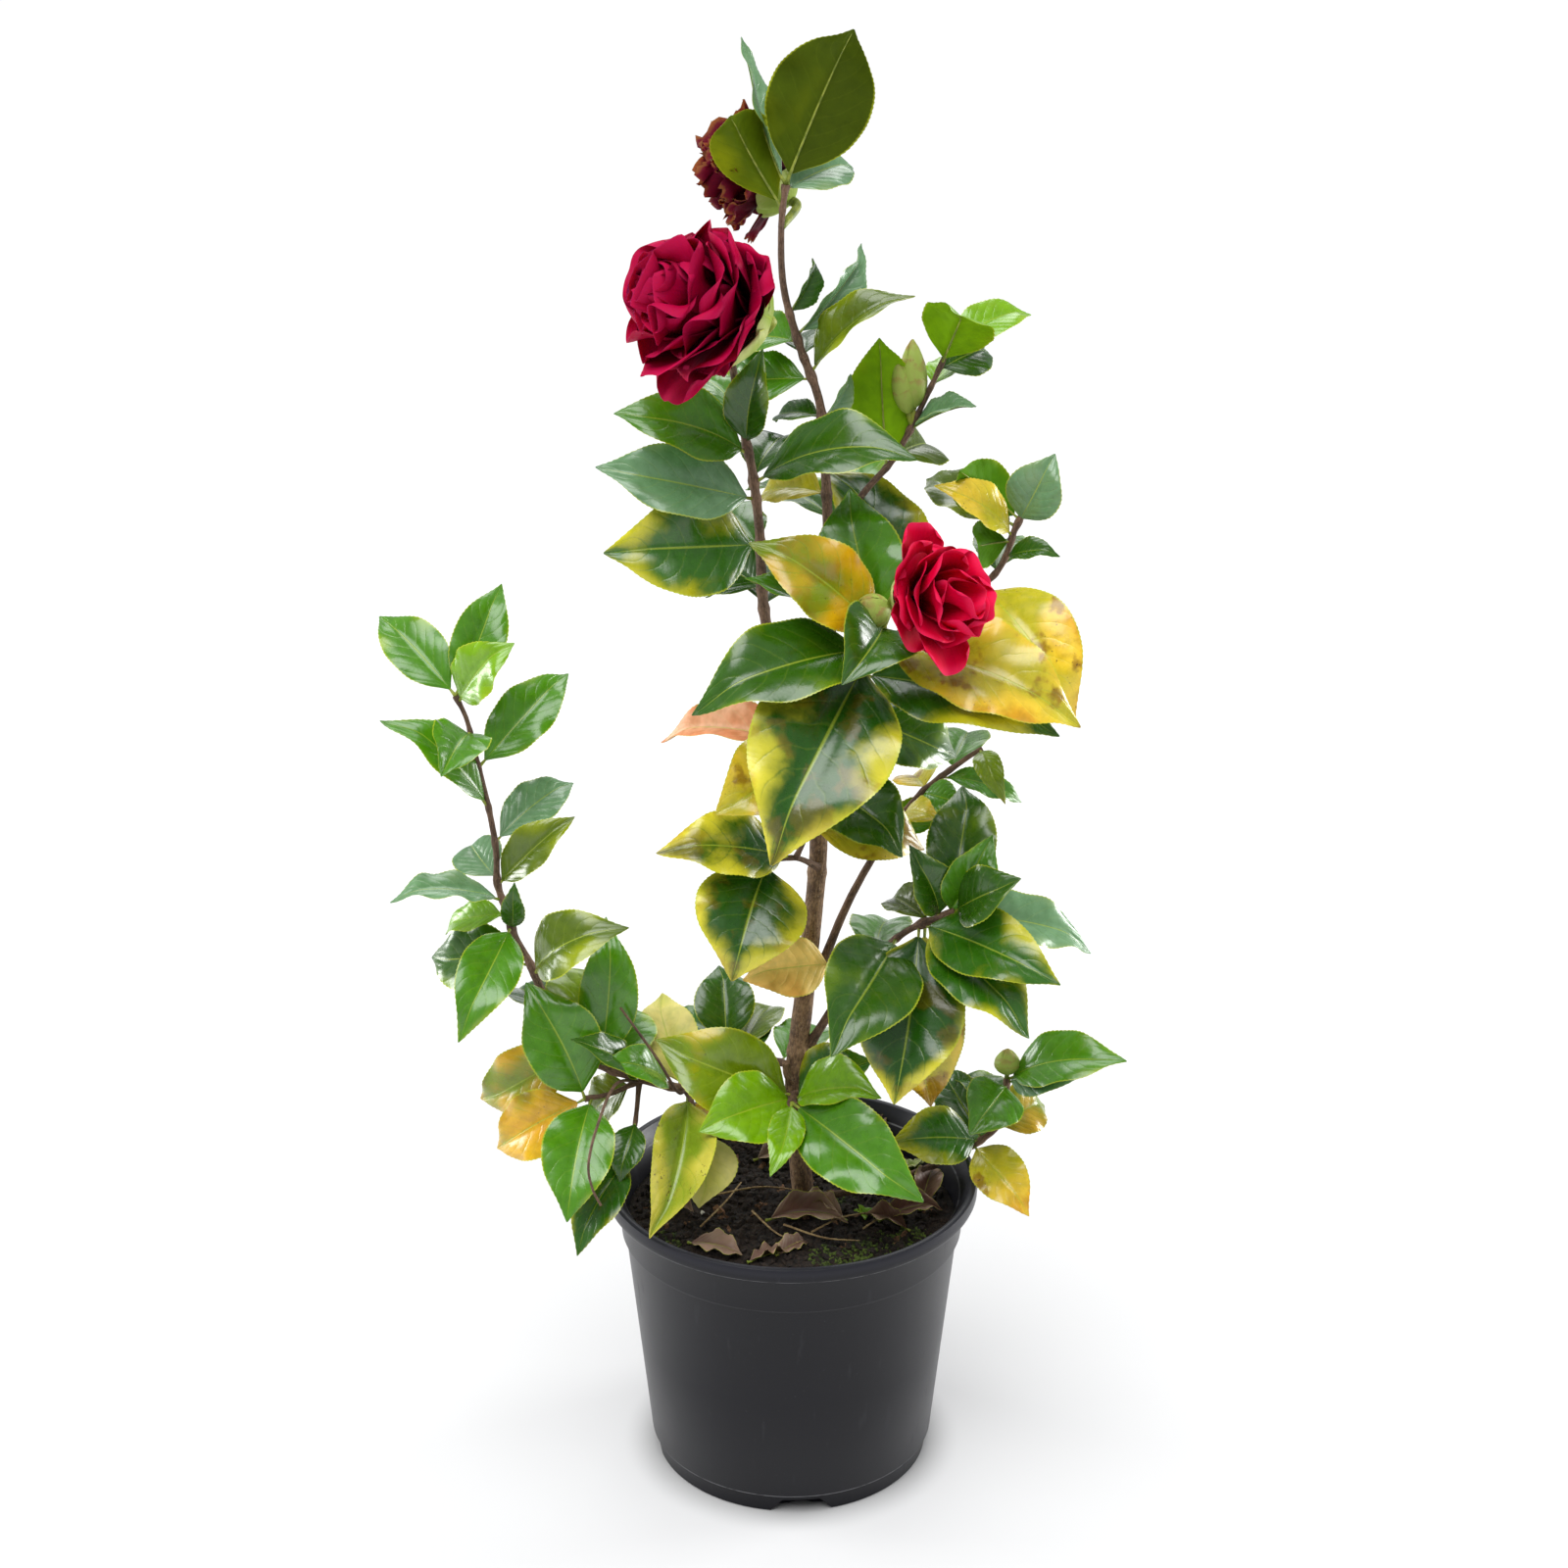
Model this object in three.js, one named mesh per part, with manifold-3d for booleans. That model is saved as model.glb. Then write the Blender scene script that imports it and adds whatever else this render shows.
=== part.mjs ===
// A camellia in the plastic pot that it was sold in: millimetres, +Z up, the front towards -Y.
// The origin is the centre of the pot's flat underside.
//
// Every limb is a smooth curve through a few places, and tapers along it. A leaf is named by where it
// leaves its limb and which way it points, as a gardener would describe it, and one function makes it.
import * as THREE from 'three';
import { mergeVertices } from 'three/addons/utils/BufferGeometryUtils.js';
import Module from 'manifold-3d';

const wasm = await Module();
wasm.setup();
const { Manifold, Mesh } = wasm;

// ---------------------------------------------------------------- driving dimensions

const GAP = 0.3;                       // left between two pieces that touch

const POT = {
  height: 155.5, rimRadius: 95, lipHeight: 7.5, collarRadius: 88, collarHeight: 22,
  shoulderRadius: 85, hemRadius: 73.2, hemHeight: 10.7, footRadius: 70.4, wall: 2.2,
  floor: 3, channelInner: 46, channelOuter: 62, channelHeight: 4, facets: 28,
};
const NOTCH = { count: 4, height: 7.5, width: 32, slope: 6.5, firstAngle: -86 };
const DRAIN = { count: 8, radius: 54, length: 13, width: 5 };
const SOIL = { top: 136.7, edgeDrop: 2.5, flatRadius: 40 };
const FLARE = { height: 16, spread: 1.5 };   // the root flare at the soil

const LEAF = { arch: 0.08, fold: 14, petiole: 0.07, petioleRadius: 0.9, thickness: 1.5, sunk: 2 };
const TRUNK_SIDES = 10;
const LIMB_SIDES = 6;
const STEP = 12;                       // the longest straight stretch of a limb

const COLOURS = {
  pot: 0x26272a, soil: 0x2c211a, bark: 0x5a4232, crimson: 0x9c1038, scarlet: 0xb8123a, spent: 0x4f1722,
};
// The tint of a leaf, from deep green to the pale yellow of one about to fall.
const TINTS = {
  dark: 0x1f4f2c, green: 0x2f6f2a, young: 0x4f9a30, olive: 0x6a8626, speckled: 0x7c8c34, patched: 0x8c9a2c,
  mottled: 0x98982c, autumn: 0xb0902a, yellow: 0xc8ac30, pale: 0xc6bc62, russet: 0xcc8a5e,
};
const FINISH = {
  pot: [0.45, 0], soil: [0.95, 0], bark: [0.85, 0], foliage: [0.35, 0], crimson: [0.6, 0],
  scarlet: [0.6, 0], spent: [0.85, 0],
};

// ---------------------------------------------------------------- solids

const radians = THREE.MathUtils.degToRad;
const vector = (point) => new THREE.Vector3(...point);

/** A solid from corners and triangles, turned the right way out. */
function solidOf(corners, triangles) {
  const vertProperties = new Float32Array(corners.flatMap((corner) => corner.toArray()));
  const make = (order) => new Manifold(new Mesh({
    numProp: 3, vertProperties, triVerts: new Uint32Array(triangles.flatMap(([a, b, c]) => order(a, b, c))),
  }));
  const solid = make((a, b, c) => [a, b, c]);
  return solid.volume() > 0 ? solid : make((a, b, c) => [a, c, b]);
}

/** A solid from a closed three.js geometry. */
function solidFrom(geometry) {
  geometry.deleteAttribute('normal');
  geometry.deleteAttribute('uv');
  const merged = mergeVertices(geometry, 2e-3);
  return new Manifold(new Mesh({
    numProp: 3,
    vertProperties: new Float32Array(merged.attributes.position.array),
    triVerts: new Uint32Array(merged.index.array),
  }));
}

const join = (solids) => Manifold.union(solids);

/** Rings of corners, one after another, closed by an apex or a flat cap at each end. */
function skin(rings) {
  const corners = [];
  const triangles = [];
  const starts = rings.map((ring) => {
    const start = corners.length;
    corners.push(...ring);
    return start;
  });
  for (let i = 0; i + 1 < rings.length; i++) {
    const [low, high] = [rings[i].length, rings[i + 1].length];
    const sides = Math.max(low, high);
    for (let j = 0; j < sides; j++) {
      const k = (j + 1) % sides;
      const [a, b] = [starts[i] + (j % low), starts[i] + (k % low)];
      const [c, d] = [starts[i + 1] + (j % high), starts[i + 1] + (k % high)];
      if (low > 1) triangles.push([a, b, c]);
      if (high > 1) triangles.push([b, d, c]);
    }
  }
  const cap = (start, count, flip) => {
    for (let j = 1; j + 1 < count; j++) {
      triangles.push(flip ? [start, start + j + 1, start + j] : [start, start + j, start + j + 1]);
    }
  };
  cap(starts[0], rings[0].length, true);
  cap(starts.at(-1), rings.at(-1).length, false);
  return solidOf(corners, triangles);
}

/** A finished sub-part: a named mesh with its own material. */
function subPart(name, finish, solid, colour = COLOURS[finish]) {
  const { vertProperties, triVerts } = solid.getMesh();
  const geometry = new THREE.BufferGeometry();
  geometry.setAttribute('position', new THREE.BufferAttribute(vertProperties, 3));
  geometry.setIndex(new THREE.BufferAttribute(triVerts, 1));
  geometry.computeVertexNormals();
  const [roughness, metalness] = FINISH[finish];
  const material = new THREE.MeshStandardMaterial({ color: colour, roughness, metalness });
  const mesh = new THREE.Mesh(geometry, material);
  mesh.name = name;
  return mesh;
}

// ---------------------------------------------------------------- pot and soil

/** The radius of the pot's outer wall, between its hem and its shoulder. */
function wallRadius(height) {
  const shoulder = POT.height - POT.lipHeight - POT.collarHeight;
  return THREE.MathUtils.mapLinear(height, POT.hemHeight, shoulder, POT.hemRadius, POT.shoulderRadius);
}

function turned(profile) {
  const outline = profile.map(([radius, height]) => new THREE.Vector2(radius, height));
  return solidFrom(new THREE.LatheGeometry(outline, POT.facets).rotateX(Math.PI / 2));
}

function nurseryPot() {
  const { height, rimRadius, lipHeight, collarRadius, collarHeight, wall, floor } = POT;
  const { channelInner, channelOuter, channelHeight, hemHeight, footRadius } = POT;
  const lipBottom = height - lipHeight;
  const collarBottom = lipBottom - collarHeight;
  const shell = turned([
    [0, 0], [channelInner, 0], [channelInner + 2, channelHeight], [channelOuter, channelHeight],
    [channelOuter + 1, 0], [footRadius, 0], [footRadius + 1, hemHeight - 1],
    [wallRadius(hemHeight), hemHeight],
    [wallRadius(collarBottom), collarBottom - 0.5], [collarRadius - 1, collarBottom + 1],
    [collarRadius, lipBottom - 1], [rimRadius - 1.2, lipBottom], [rimRadius, lipBottom + 1.5],
    [rimRadius, height - 1.5], [rimRadius - 1.5, height], [rimRadius - 4, height],
    [collarRadius - wall, lipBottom], [wallRadius(collarBottom) - wall, collarBottom - 2],
    [wallRadius(hemHeight) - wall, hemHeight], [channelOuter + 2, channelHeight + floor],
    [channelInner - 2, channelHeight + floor], [channelInner - 4, floor], [0, floor],
  ]);
  return shell.subtract(join([...footNotches(), ...drainSlots()]));
}

/** The tapering gaps round the foot that let water out. */
function footNotches() {
  return Array.from({ length: NOTCH.count }, (_, i) => {
    const half = NOTCH.width / 2;
    const shape = new THREE.Shape([
      new THREE.Vector2(-half, -1), new THREE.Vector2(half, -1),
      new THREE.Vector2(half - NOTCH.slope, NOTCH.height),
      new THREE.Vector2(NOTCH.slope - half, NOTCH.height),
    ]);
    const cutter = new THREE.ExtrudeGeometry(shape, { depth: 20, bevelEnabled: false });
    cutter.rotateX(Math.PI / 2).translate(0, -POT.footRadius + 7.5, 0);
    cutter.rotateZ(radians(NOTCH.firstAngle + 90 + i * (360 / NOTCH.count)));
    return solidFrom(cutter);
  });
}

/** The slots through the floor, in the ring channel. */
function drainSlots() {
  return Array.from({ length: DRAIN.count }, (_, i) => {
    const slot = new THREE.BoxGeometry(DRAIN.length, DRAIN.width, 30);
    slot.translate(0, -DRAIN.radius, 0).rotateZ(radians(NOTCH.firstAngle + 90 + i * (360 / DRAIN.count)));
    return solidFrom(slot);
  });
}

function pottingSoil() {
  const clear = POT.wall + GAP + 0.2;
  const shoulder = POT.height - POT.lipHeight - POT.collarHeight - 2.5;
  const lowest = POT.channelHeight + POT.floor + GAP;
  return turned([
    [0, lowest], [POT.channelOuter + 1, lowest], [wallRadius(POT.hemHeight) - clear, POT.hemHeight + 1],
    [wallRadius(shoulder) - clear, shoulder], [wallRadius(SOIL.top) - clear, SOIL.top - SOIL.edgeDrop],
    [SOIL.flatRadius, SOIL.top], [0, SOIL.top],
  ]);
}

// ---------------------------------------------------------------- limbs

/** A limb: its curve, and its radius from one end to the other. */
function limb(path, startRadius, endRadius) {
  const curve = new THREE.CatmullRomCurve3(path.map(vector), false, 'catmullrom', 0.5);
  const radiusAt = (share) => THREE.MathUtils.lerp(startRadius, endRadius, share);
  return { curve, radiusAt, length: curve.getLength() };
}

/** The solid of a limb between two shares of its length, grown by `extra` all round. */
function limbSolid({ curve, radiusAt, length }, from = 0, to = 1, sides = LIMB_SIDES, extra = 0) {
  const steps = Math.max(1, Math.ceil((length * (to - from)) / STEP));
  const frames = curve.computeFrenetFrames(60, false);
  const rings = Array.from({ length: steps + 1 }, (_, i) => {
    const share = THREE.MathUtils.lerp(from, to, i / steps);
    const centre = curve.getPointAt(share);
    const at = Math.round(share * 60);
    const radius = radiusAt(share) + extra;
    return Array.from({ length: sides }, (_, j) => {
      const turn = (j / sides) * 2 * Math.PI;
      return centre.clone()
        .addScaledVector(frames.normals[at], radius * Math.cos(turn))
        .addScaledVector(frames.binormals[at], radius * Math.sin(turn));
    });
  });
  return skin(rings);
}

/** The main stem, from its flat cut at the soil, with its root flare and an old pruned stub. */
const mainStem = limb([
  [7, -8, 137], [4, -7, 172], [2, -6, 213], [6, -3, 255], [12, 0, 318], [13, 0, 346], [12, 0, 389],
], 6.6, 4.8);

function mainStemSolid(extra = 0) {
  const flared = {
    ...mainStem,
    radiusAt: (share) => {
      const low = Math.max(0, 1 - (share * mainStem.length) / FLARE.height);
      return mainStem.radiusAt(share) + FLARE.spread * low * low;
    },
  };
  const stub = limb([[2, -6, 208], [-2, -12, 218], [-3, -14, 226]], 2.4, 1.7);
  const below = new THREE.BoxGeometry(60, 60, 40).translate(0, 0, SOIL.top + GAP - 20);
  return join([limbSolid(flared, 0, 1, TRUNK_SIDES, extra), limbSolid(stub, 0, 1, LIMB_SIDES, extra)])
    .subtract(solidFrom(below));
}

const limbs = {
  leader: limb([
    [12, 0, 389], [17, 10, 445], [17, 12, 484], [16, 12, 514], [13, 10, 553], [3, 6, 583], [-4, 2, 610],
    [-5, 0, 637], [-3, 0, 656],
  ], 3.2, 1.3),
  bloomStem: limb([
    [12, 0, 389], [-5, -10, 428], [-13, -15, 461], [-15, -18, 500], [-18, -20, 528], [-23, -22, 554],
    [-27, -26, 581],
  ], 3, 1.7),
  budShoot: limb([
    [17, 12, 484], [33, 22, 507], [48, 26, 524], [60, 30, 546], [71, 30, 571], [73, 30, 578],
  ], 1.8, 1.1),
  sideShoot: limb([[16, 6, 427], [57, 20, 442], [96, 30, 464], [107, 34, 487], [110, 34, 494]], 2.2, 1.3),
  frontShoot: limb([[12, 0, 379], [23, -22, 412], [33, -40, 443], [41, -52, 466]], 2.6, 1.7),
  backShoot: limb([[18, 12, 440], [22, 32, 455], [22, 54, 470], [26, 74, 488]], 2.2, 1.3),
  rightBough: limb([
    [15, -1, 273], [25, 6, 297], [35, 12, 316], [48, 18, 336], [64, 24, 355], [85, 28, 371], [94, 30, 376],
  ], 2.3, 1.2),
  midRight: limb([[9, -4, 231], [30, -14, 271], [53, -26, 301], [69, -34, 313], [78, -38, 319]], 2.3, 1.4),
  lowRight: limb([
    [9, -8, 146], [31, -5, 148], [56, 0, 153], [77, 6, 159], [88, 9, 163], [104, 14, 173], [110, 16, 185],
    [110, 16, 202],
  ], 1.9, 1.2),
  frontLow: limb([[2, -8, 205], [0, -34, 214]], 2, 1.6),
  backLow: limb([[7, -1, 215], [-6, 12, 213], [-21, 22, 212], [-34, 30, 213]], 2, 1.2),
  leftBough: limb([
    [0, -8, 206], [-24, -6, 205], [-53, -8, 208], [-76, -12, 216], [-96, -15, 226], [-113, -16, 243],
    [-122, -16, 263],
  ], 2.2, 2),
  leftShoot: limb([
    [-122, -16, 263], [-128, -15, 280], [-135, -14, 294], [-140, -13, 311], [-143, -12, 323],
    [-143, -12, 340], [-146, -10, 361], [-151, -8, 385], [-155, -6, 404], [-160, -5, 416],
  ], 2, 1.1),
  leftTwig: limb([[-76, -12, 215], [-89, -22, 213], [-102, -30, 214]], 1.3, 1.1),
  hangingTwig: limb([[-76, -12, 215], [-78, -20, 196], [-81, -24, 179]], 1.3, 1),
  droppingTwig: limb([[-53, -8, 208], [-50, -16, 205], [-47, -20, 197], [-42, -22, 184]], 1.3, 0.8),
  bareTwig: limb([[-53, -8, 208], [-57, -18, 212], [-67, -22, 233], [-84, -22, 260]], 0.9, 0.6),
  deadTwig: limb([
    [-76, -12, 215], [-90, -36, 206], [-96, -48, 194], [-95, -55, 183], [-90, -58, 168],
  ], 0.9, 0.6),
  collarTwig: limb([[13, -6, 328], [2, -16, 337], [-11, -22, 338]], 1.5, 1.1),
  collarSpur: limb([[2, -16, 337], [8, -17, 353], [11, -16, 373], [12, -17, 392]], 1.2, 1),
  stemSpur: limb([[16, -6, 272], [20, -12, 279], [23, -16, 286]], 1.2, 1),
};

// ---------------------------------------------------------------- leaves, petals and buds

/** Three axes for something that grows along a heading (0 is +X, 90 the back) and a pitch (up is +). */
function axesOf(heading, pitch, roll) {
  const [h, p, r] = [heading, pitch, roll].map(radians);
  const along = new THREE.Vector3(Math.cos(p) * Math.cos(h), Math.cos(p) * Math.sin(h), Math.sin(p));
  const level = new THREE.Vector3(0, 0, 1).addScaledVector(along, -along.z).normalize();
  const right = new THREE.Vector3().crossVectors(along, level);
  const face = level.multiplyScalar(Math.cos(r)).addScaledVector(right, Math.sin(r));
  return { along, face, across: new THREE.Vector3().crossVectors(along, face) };
}

// Stations of a blade: [share of its length, share of its half width].
const LEAF_OUTLINE = [[0.15, 0.58], [0.37, 0.96], [0.62, 0.92], [0.85, 0.48]];
const PETAL_OUTLINE = [[0.35, 0.65], [0.75, 1], [0.96, 0.66]];

/** A blade: a lens-shaped section, folded along its midrib and arched from base to tip. */
function blade(base, axes, length, width, outline, { arch, fold, neck, neckRadius, thickness }) {
  const { along, face, across } = axes;
  const centre = (share) => base.clone()
    .addScaledVector(along, length * share)
    .addScaledVector(face, arch * length * 4 * share * (1 - share));
  const section = (share, halfWidth, halfThickness, foldAngle) => {
    const middle = centre(share);
    const edge = (side) => middle.clone()
      .addScaledVector(across, side * halfWidth * Math.cos(radians(foldAngle)))
      .addScaledVector(face, halfWidth * Math.sin(radians(foldAngle)));
    const rib = (side) => middle.clone().addScaledVector(face, side * halfThickness);
    return [edge(-1), rib(-1), edge(1), rib(1)];
  };
  const rings = outline.map(([share, broad]) => section(
    neck + (1 - neck) * share, (width / 2) * broad, thickness / 2, fold,
  ));
  return skin([[centre(0)], section(neck, neckRadius, neckRadius, 0), ...rings, [centre(1)]]);
}

/** A leaf from its row: [at, heading, pitch, length, roll, width, tint, arch %, fold in degrees]. */
function leaf(branch, [at, heading, pitch, length, roll, width, , archPercent, fold = LEAF.fold]) {
  const arch = archPercent === undefined ? LEAF.arch : archPercent / 100;
  const shape = {
    arch, fold, neck: LEAF.petiole, neckRadius: LEAF.petioleRadius,
    thickness: Math.max(LEAF.thickness, length / 50),
  };
  const base = branch.curve.getPointAt(Math.min(at, 1 - LEAF.sunk / branch.length));
  return blade(base, axesOf(heading, pitch, roll), length, width, LEAF_OUTLINE, shape);
}

/** A bud: an egg on a short stalk that starts inside its limb. */
function bud(branch, at, heading, pitch, stalk, length, radius) {
  const { along, face, across } = axesOf(heading, pitch, 0);
  const foot = branch.curve.getPointAt(Math.min(at, 1 - LEAF.sunk / branch.length));
  const egg = new THREE.IcosahedronGeometry(1, 1);
  const turn = new THREE.Matrix4().makeBasis(
    face.clone().multiplyScalar(radius), across.clone().multiplyScalar(radius),
    along.clone().multiplyScalar(length / 2),
  );
  turn.setPosition(foot.clone().addScaledVector(along, stalk + length / 2));
  const tip = foot.clone().addScaledVector(along, stalk + length / 3);
  return [solidFrom(egg.applyMatrix4(turn)), limbSolid(limb([foot.toArray(), tip.toArray()], 1.2, 1.2))];
}

// Each row: [at, heading, pitch, length, roll, width, tint, arch %, fold]. `at` is the share of the
// limb's length, the angles are in degrees, and roll 0 holds the upper face up.
const leaves = {
  leader: [
    [0.45, 145, -10, 42, -30, 28, 'yellow', 10], [0.58, 45, 45, 28, 95, 14, 'dark', 5, 26],
    [0.59, 140, -10, 32, -25, 18, 'dark'], [0.66, 150, -10, 52, -50, 28, 'green'],
    [0.67, -5, 40, 60, 35, 28, 'olive', 11, 30], [0.7, 95, 0, 46, 0, 24, 'dark'],
    [0.73, 135, -10, 46, -35, 30, 'green'], [0.74, 40, 40, 58, 95, 20, 'green', 4, 36],
    [0.78, 55, 45, 32, 90, 16, 'dark', 5, 30], [0.96, -135, 55, 56, 60, 34, 'olive', 20, 28],
    [0.99, 45, 10, 44, 35, 28, 'dark'], [1, -25, 65, 78, -70, 48, 'olive', 5],
    [1, 140, 70, 67, 25, 24, 'dark', -4],
  ],
  bloomStem: [
    [0.4, 80, 0, 62, 0, 34, 'dark'], [0.45, 120, 5, 40, -40, 34, 'dark'],
    [0.55, 120, 5, 60, 0, 32, 'green'], [0.56, -155, 5, 76, -70, 47, 'patched'],
    [0.67, -165, 15, 76, -55, 36, 'dark'], [0.71, -20, 15, 80, 30, 40, 'dark', 12],
    [0.72, 70, 10, 54, 0, 28, 'dark'], [0.78, -160, 20, 66, -50, 36, 'green', 10],
    [0.8, -50, 75, 46, 120, 24, 'dark', 8, 26], [0.86, 120, 15, 46, 0, 24, 'green'],
  ],
  budShoot: [
    [0.42, -135, 85, 64, 45, 32, 'young', 6, 10], [0.48, 60, -5, 38, 35, 34, 'olive'],
    [0.6, 125, 10, 44, 0, 22, 'green'], [0.61, -25, 25, 36, 15, 20, 'dark', 6, 26],
    [0.67, 120, 15, 28, -25, 20, 'green'], [0.8, 60, 10, 36, 0, 20, 'young'],
    [0.88, 40, 10, 34, 45, 26, 'dark'], [0.91, -75, 45, 44, -30, 36, 'young', 10],
    [0.99, 30, 15, 48, 35, 22, 'young'],
  ],
  sideShoot: [
    [0.44, 145, 50, 91, -25, 42, 'mottled'], [0.5, 95, -20, 56, 0, 30, 'dark'],
    [0.68, -50, -35, 84, 30, 46, 'yellow', 16], [0.75, 80, 5, 50, 0, 28, 'green'],
    [0.83, -30, 15, 28, 40, 14, 'dark', 8, 24], [0.89, -135, 5, 26, 105, 24, 'green', 12, 20],
    [0.91, -160, 35, 48, -45, 26, 'yellow', 10], [0.95, 130, 10, 70, -25, 30, 'young', 4],
    [0.97, -25, 65, 38, 95, 28, 'dark'], [0.98, -160, 40, 44, 85, 30, 'green', 14, 20],
  ],
  frontShoot: [
    [0.42, 5, -25, 62, 45, 38, 'dark'], [0.68, -25, -5, 98, 35, 44, 'patched', 10],
    [0.79, -120, -35, 112, -30, 68, 'mottled'], [0.85, -150, -5, 92, -35, 44, 'dark', 10],
    [0.89, -170, 30, 68, -15, 28, 'green', 4, 24], [0.89, -20, -15, 101, 40, 48, 'yellow'],
    [0.94, 135, 15, 64, -25, 32, 'dark', 6], [0.96, -170, 40, 74, -65, 38, 'autumn'],
    [0.92, 120, 65, 70, -30, 42, 'dark'], [1, -110, -10, 52, -30, 42, 'dark', 12, 30],
  ],
  backShoot: [
    [0.25, 150, 0, 72, 0, 38, 'dark'], [0.4, 30, -5, 60, 0, 36, 'dark'],
    [0.55, 110, -15, 76, 0, 40, 'green', 10], [0.7, 60, -10, 70, 0, 38, 'mottled'],
    [0.85, 140, 10, 64, 0, 34, 'dark'], [0.97, 80, 15, 62, 0, 32, 'green'],
  ],
  rightBough: [
    [0.52, 45, 10, 40, 25, 22, 'green'], [0.63, -60, 15, 30, 35, 18, 'yellow'],
    [0.73, -40, 0, 24, 40, 18, 'green'], [0.75, 100, -10, 34, -20, 24, 'yellow'],
    [0.82, 5, -20, 44, 30, 18, 'green'], [0.86, 75, 5, 50, 0, 28, 'green'],
    [0.99, -70, -30, 34, 25, 14, 'young', 25, 20],
  ],
  midRight: [
    [0.55, 80, -5, 58, 0, 32, 'green'], [0.69, -115, -15, 84, -30, 48, 'dark'],
    [0.82, -105, -55, 87, -10, 52, 'mottled', 4, 10], [0.83, -40, -5, 80, 35, 38, 'patched'],
    [0.85, -85, -80, 96, 5, 40, 'yellow', 6, 10], [0.85, -45, -25, 76, 25, 40, 'patched'],
    [0.87, 120, 0, 36, -20, 26, 'olive', 6, 28], [0.92, -150, 65, 42, -90, 26, 'dark', 10, 28],
    [0.94, 10, -15, 78, 35, 30, 'green'], [0.96, 0, 65, 44, 90, 30, 'green', 6, 30],
    [0.98, 75, 50, 66, 10, 34, 'dark'], [1, -45, 35, 46, 60, 30, 'dark'],
  ],
  lowRight: [
    [0.5, 75, 30, 14, 10, 10, 'young'], [0.6, 100, 0, 44, 0, 24, 'green'],
    [0.67, -50, -25, 48, 35, 28, 'yellow', 14, 18], [0.7, -160, 10, 50, -45, 32, 'patched'],
    [0.71, 120, 30, 46, -25, 26, 'dark'], [0.75, 125, -30, 24, -40, 20, 'green'],
    [0.78, 40, 5, 36, 40, 28, 'autumn'], [0.86, 125, 5, 42, 0, 24, 'dark'],
    [0.97, -120, -10, 42, -30, 32, 'green'], [0.98, -30, 20, 46, 40, 28, 'dark'],
    [0.99, -25, 20, 66, 35, 34, 'green', 12],
  ],
  frontLow: [
    [0.21, -10, 30, 44, 50, 34, 'patched'], [0.25, -175, 25, 76, -60, 44, 'olive', 6],
    [0.42, -145, 0, 56, -45, 38, 'young'], [0.58, -30, 20, 52, 35, 34, 'young', 8, 28],
    [0.58, 30, -40, 42, 25, 26, 'dark'], [1, -100, -15, 48, -10, 18, 'young', 4],
    [1, -45, -15, 84, 40, 42, 'green', 6],
  ],
  backLow: [
    [0.35, 60, -5, 58, 0, 32, 'green'], [0.6, 110, -5, 56, 0, 32, 'dark'], [0.8, 70, 5, 52, 0, 28, 'olive'],
    [0.95, 140, 5, 48, 0, 28, 'patched'], [0.98, 95, 50, 44, -5, 32, 'dark'],
  ],
  leftBough: [
    [0.34, 105, 30, 50, 55, 16, 'dark'], [0.38, 110, 40, 54, -15, 32, 'pale'],
    [0.42, -135, 35, 50, -40, 24, 'green', 10], [0.53, -135, 40, 56, -45, 22, 'dark', 10],
    [0.62, 105, -5, 50, 0, 28, 'olive'], [0.64, 80, 25, 44, 15, 38, 'green', 6, 22],
    [0.68, 60, 80, 74, 30, 30, 'green'], [0.77, 165, -35, 66, -70, 34, 'autumn'],
    [0.92, 120, -5, 50, 0, 28, 'dark'],
  ],
  leftTwig: [
    [0.13, 155, -45, 36, -55, 26, 'olive'], [0.88, -100, -35, 66, -15, 36, 'green'],
    [1, 170, 65, 66, -55, 40, 'green'], [1, 170, -35, 58, -60, 34, 'autumn'],
  ],
  hangingTwig: [[0.53, -110, -40, 32, -10, 18, 'dark'], [1, -120, -30, 58, -20, 26, 'patched', 6, 20]],
  droppingTwig: [
    [0.1, -90, -35, 80, 0, 46, 'speckled', 8, 28], [0.28, 30, -60, 26, 60, 18, 'autumn'],
    [0.73, -90, -45, 42, -5, 24, 'pale', 6], [1, 90, -55, 22, 105, 16, 'dark'],
  ],
  leftShoot: [
    [0.08, -20, 35, 60, 50, 34, 'olive', 22], [0.11, 155, -10, 60, -55, 36, 'dark'],
    [0.24, -80, 70, 30, 170, 12, 'dark'], [0.25, -110, -25, 68, -25, 30, 'green'],
    [0.29, 155, -20, 40, -30, 20, 'young'], [0.34, -150, 15, 60, -15, 24, 'dark'],
    [0.39, -5, 45, 52, 50, 24, 'olive', 6, 22], [0.41, 120, 15, 34, -30, 26, 'young'],
    [0.53, 45, 20, 54, 30, 24, 'dark'], [0.64, -165, 50, 68, -40, 26, 'green'],
    [0.77, 40, 35, 66, 40, 28, 'green'], [0.88, -100, -5, 46, -25, 32, 'green', 6, 30],
    [0.98, -30, 50, 46, 75, 28, 'young'], [1, 140, 30, 60, -35, 28, 'green'],
    [1, 45, 60, 58, 45, 26, 'green'],
  ],
  collarTwig: [[0.65, -155, 15, 68, -45, 36, 'mottled'], [1, -110, -40, 62, -20, 54, 'mottled', 6, 10]],
  collarSpur: [
    [0.28, 10, -10, 60, 50, 34, 'yellow', 10], [0.71, -45, -15, 62, 35, 38, 'dark', 6],
    [0.99, 160, 0, 82, -30, 28, 'russet', 6], [1, -125, -15, 62, -40, 44, 'yellow', 6],
  ],
  stemSpur: [[0.55, -155, 5, 48, -60, 30, 'russet', 6]],
};

// ---------------------------------------------------------------- boughs and masses of foliage

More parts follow.
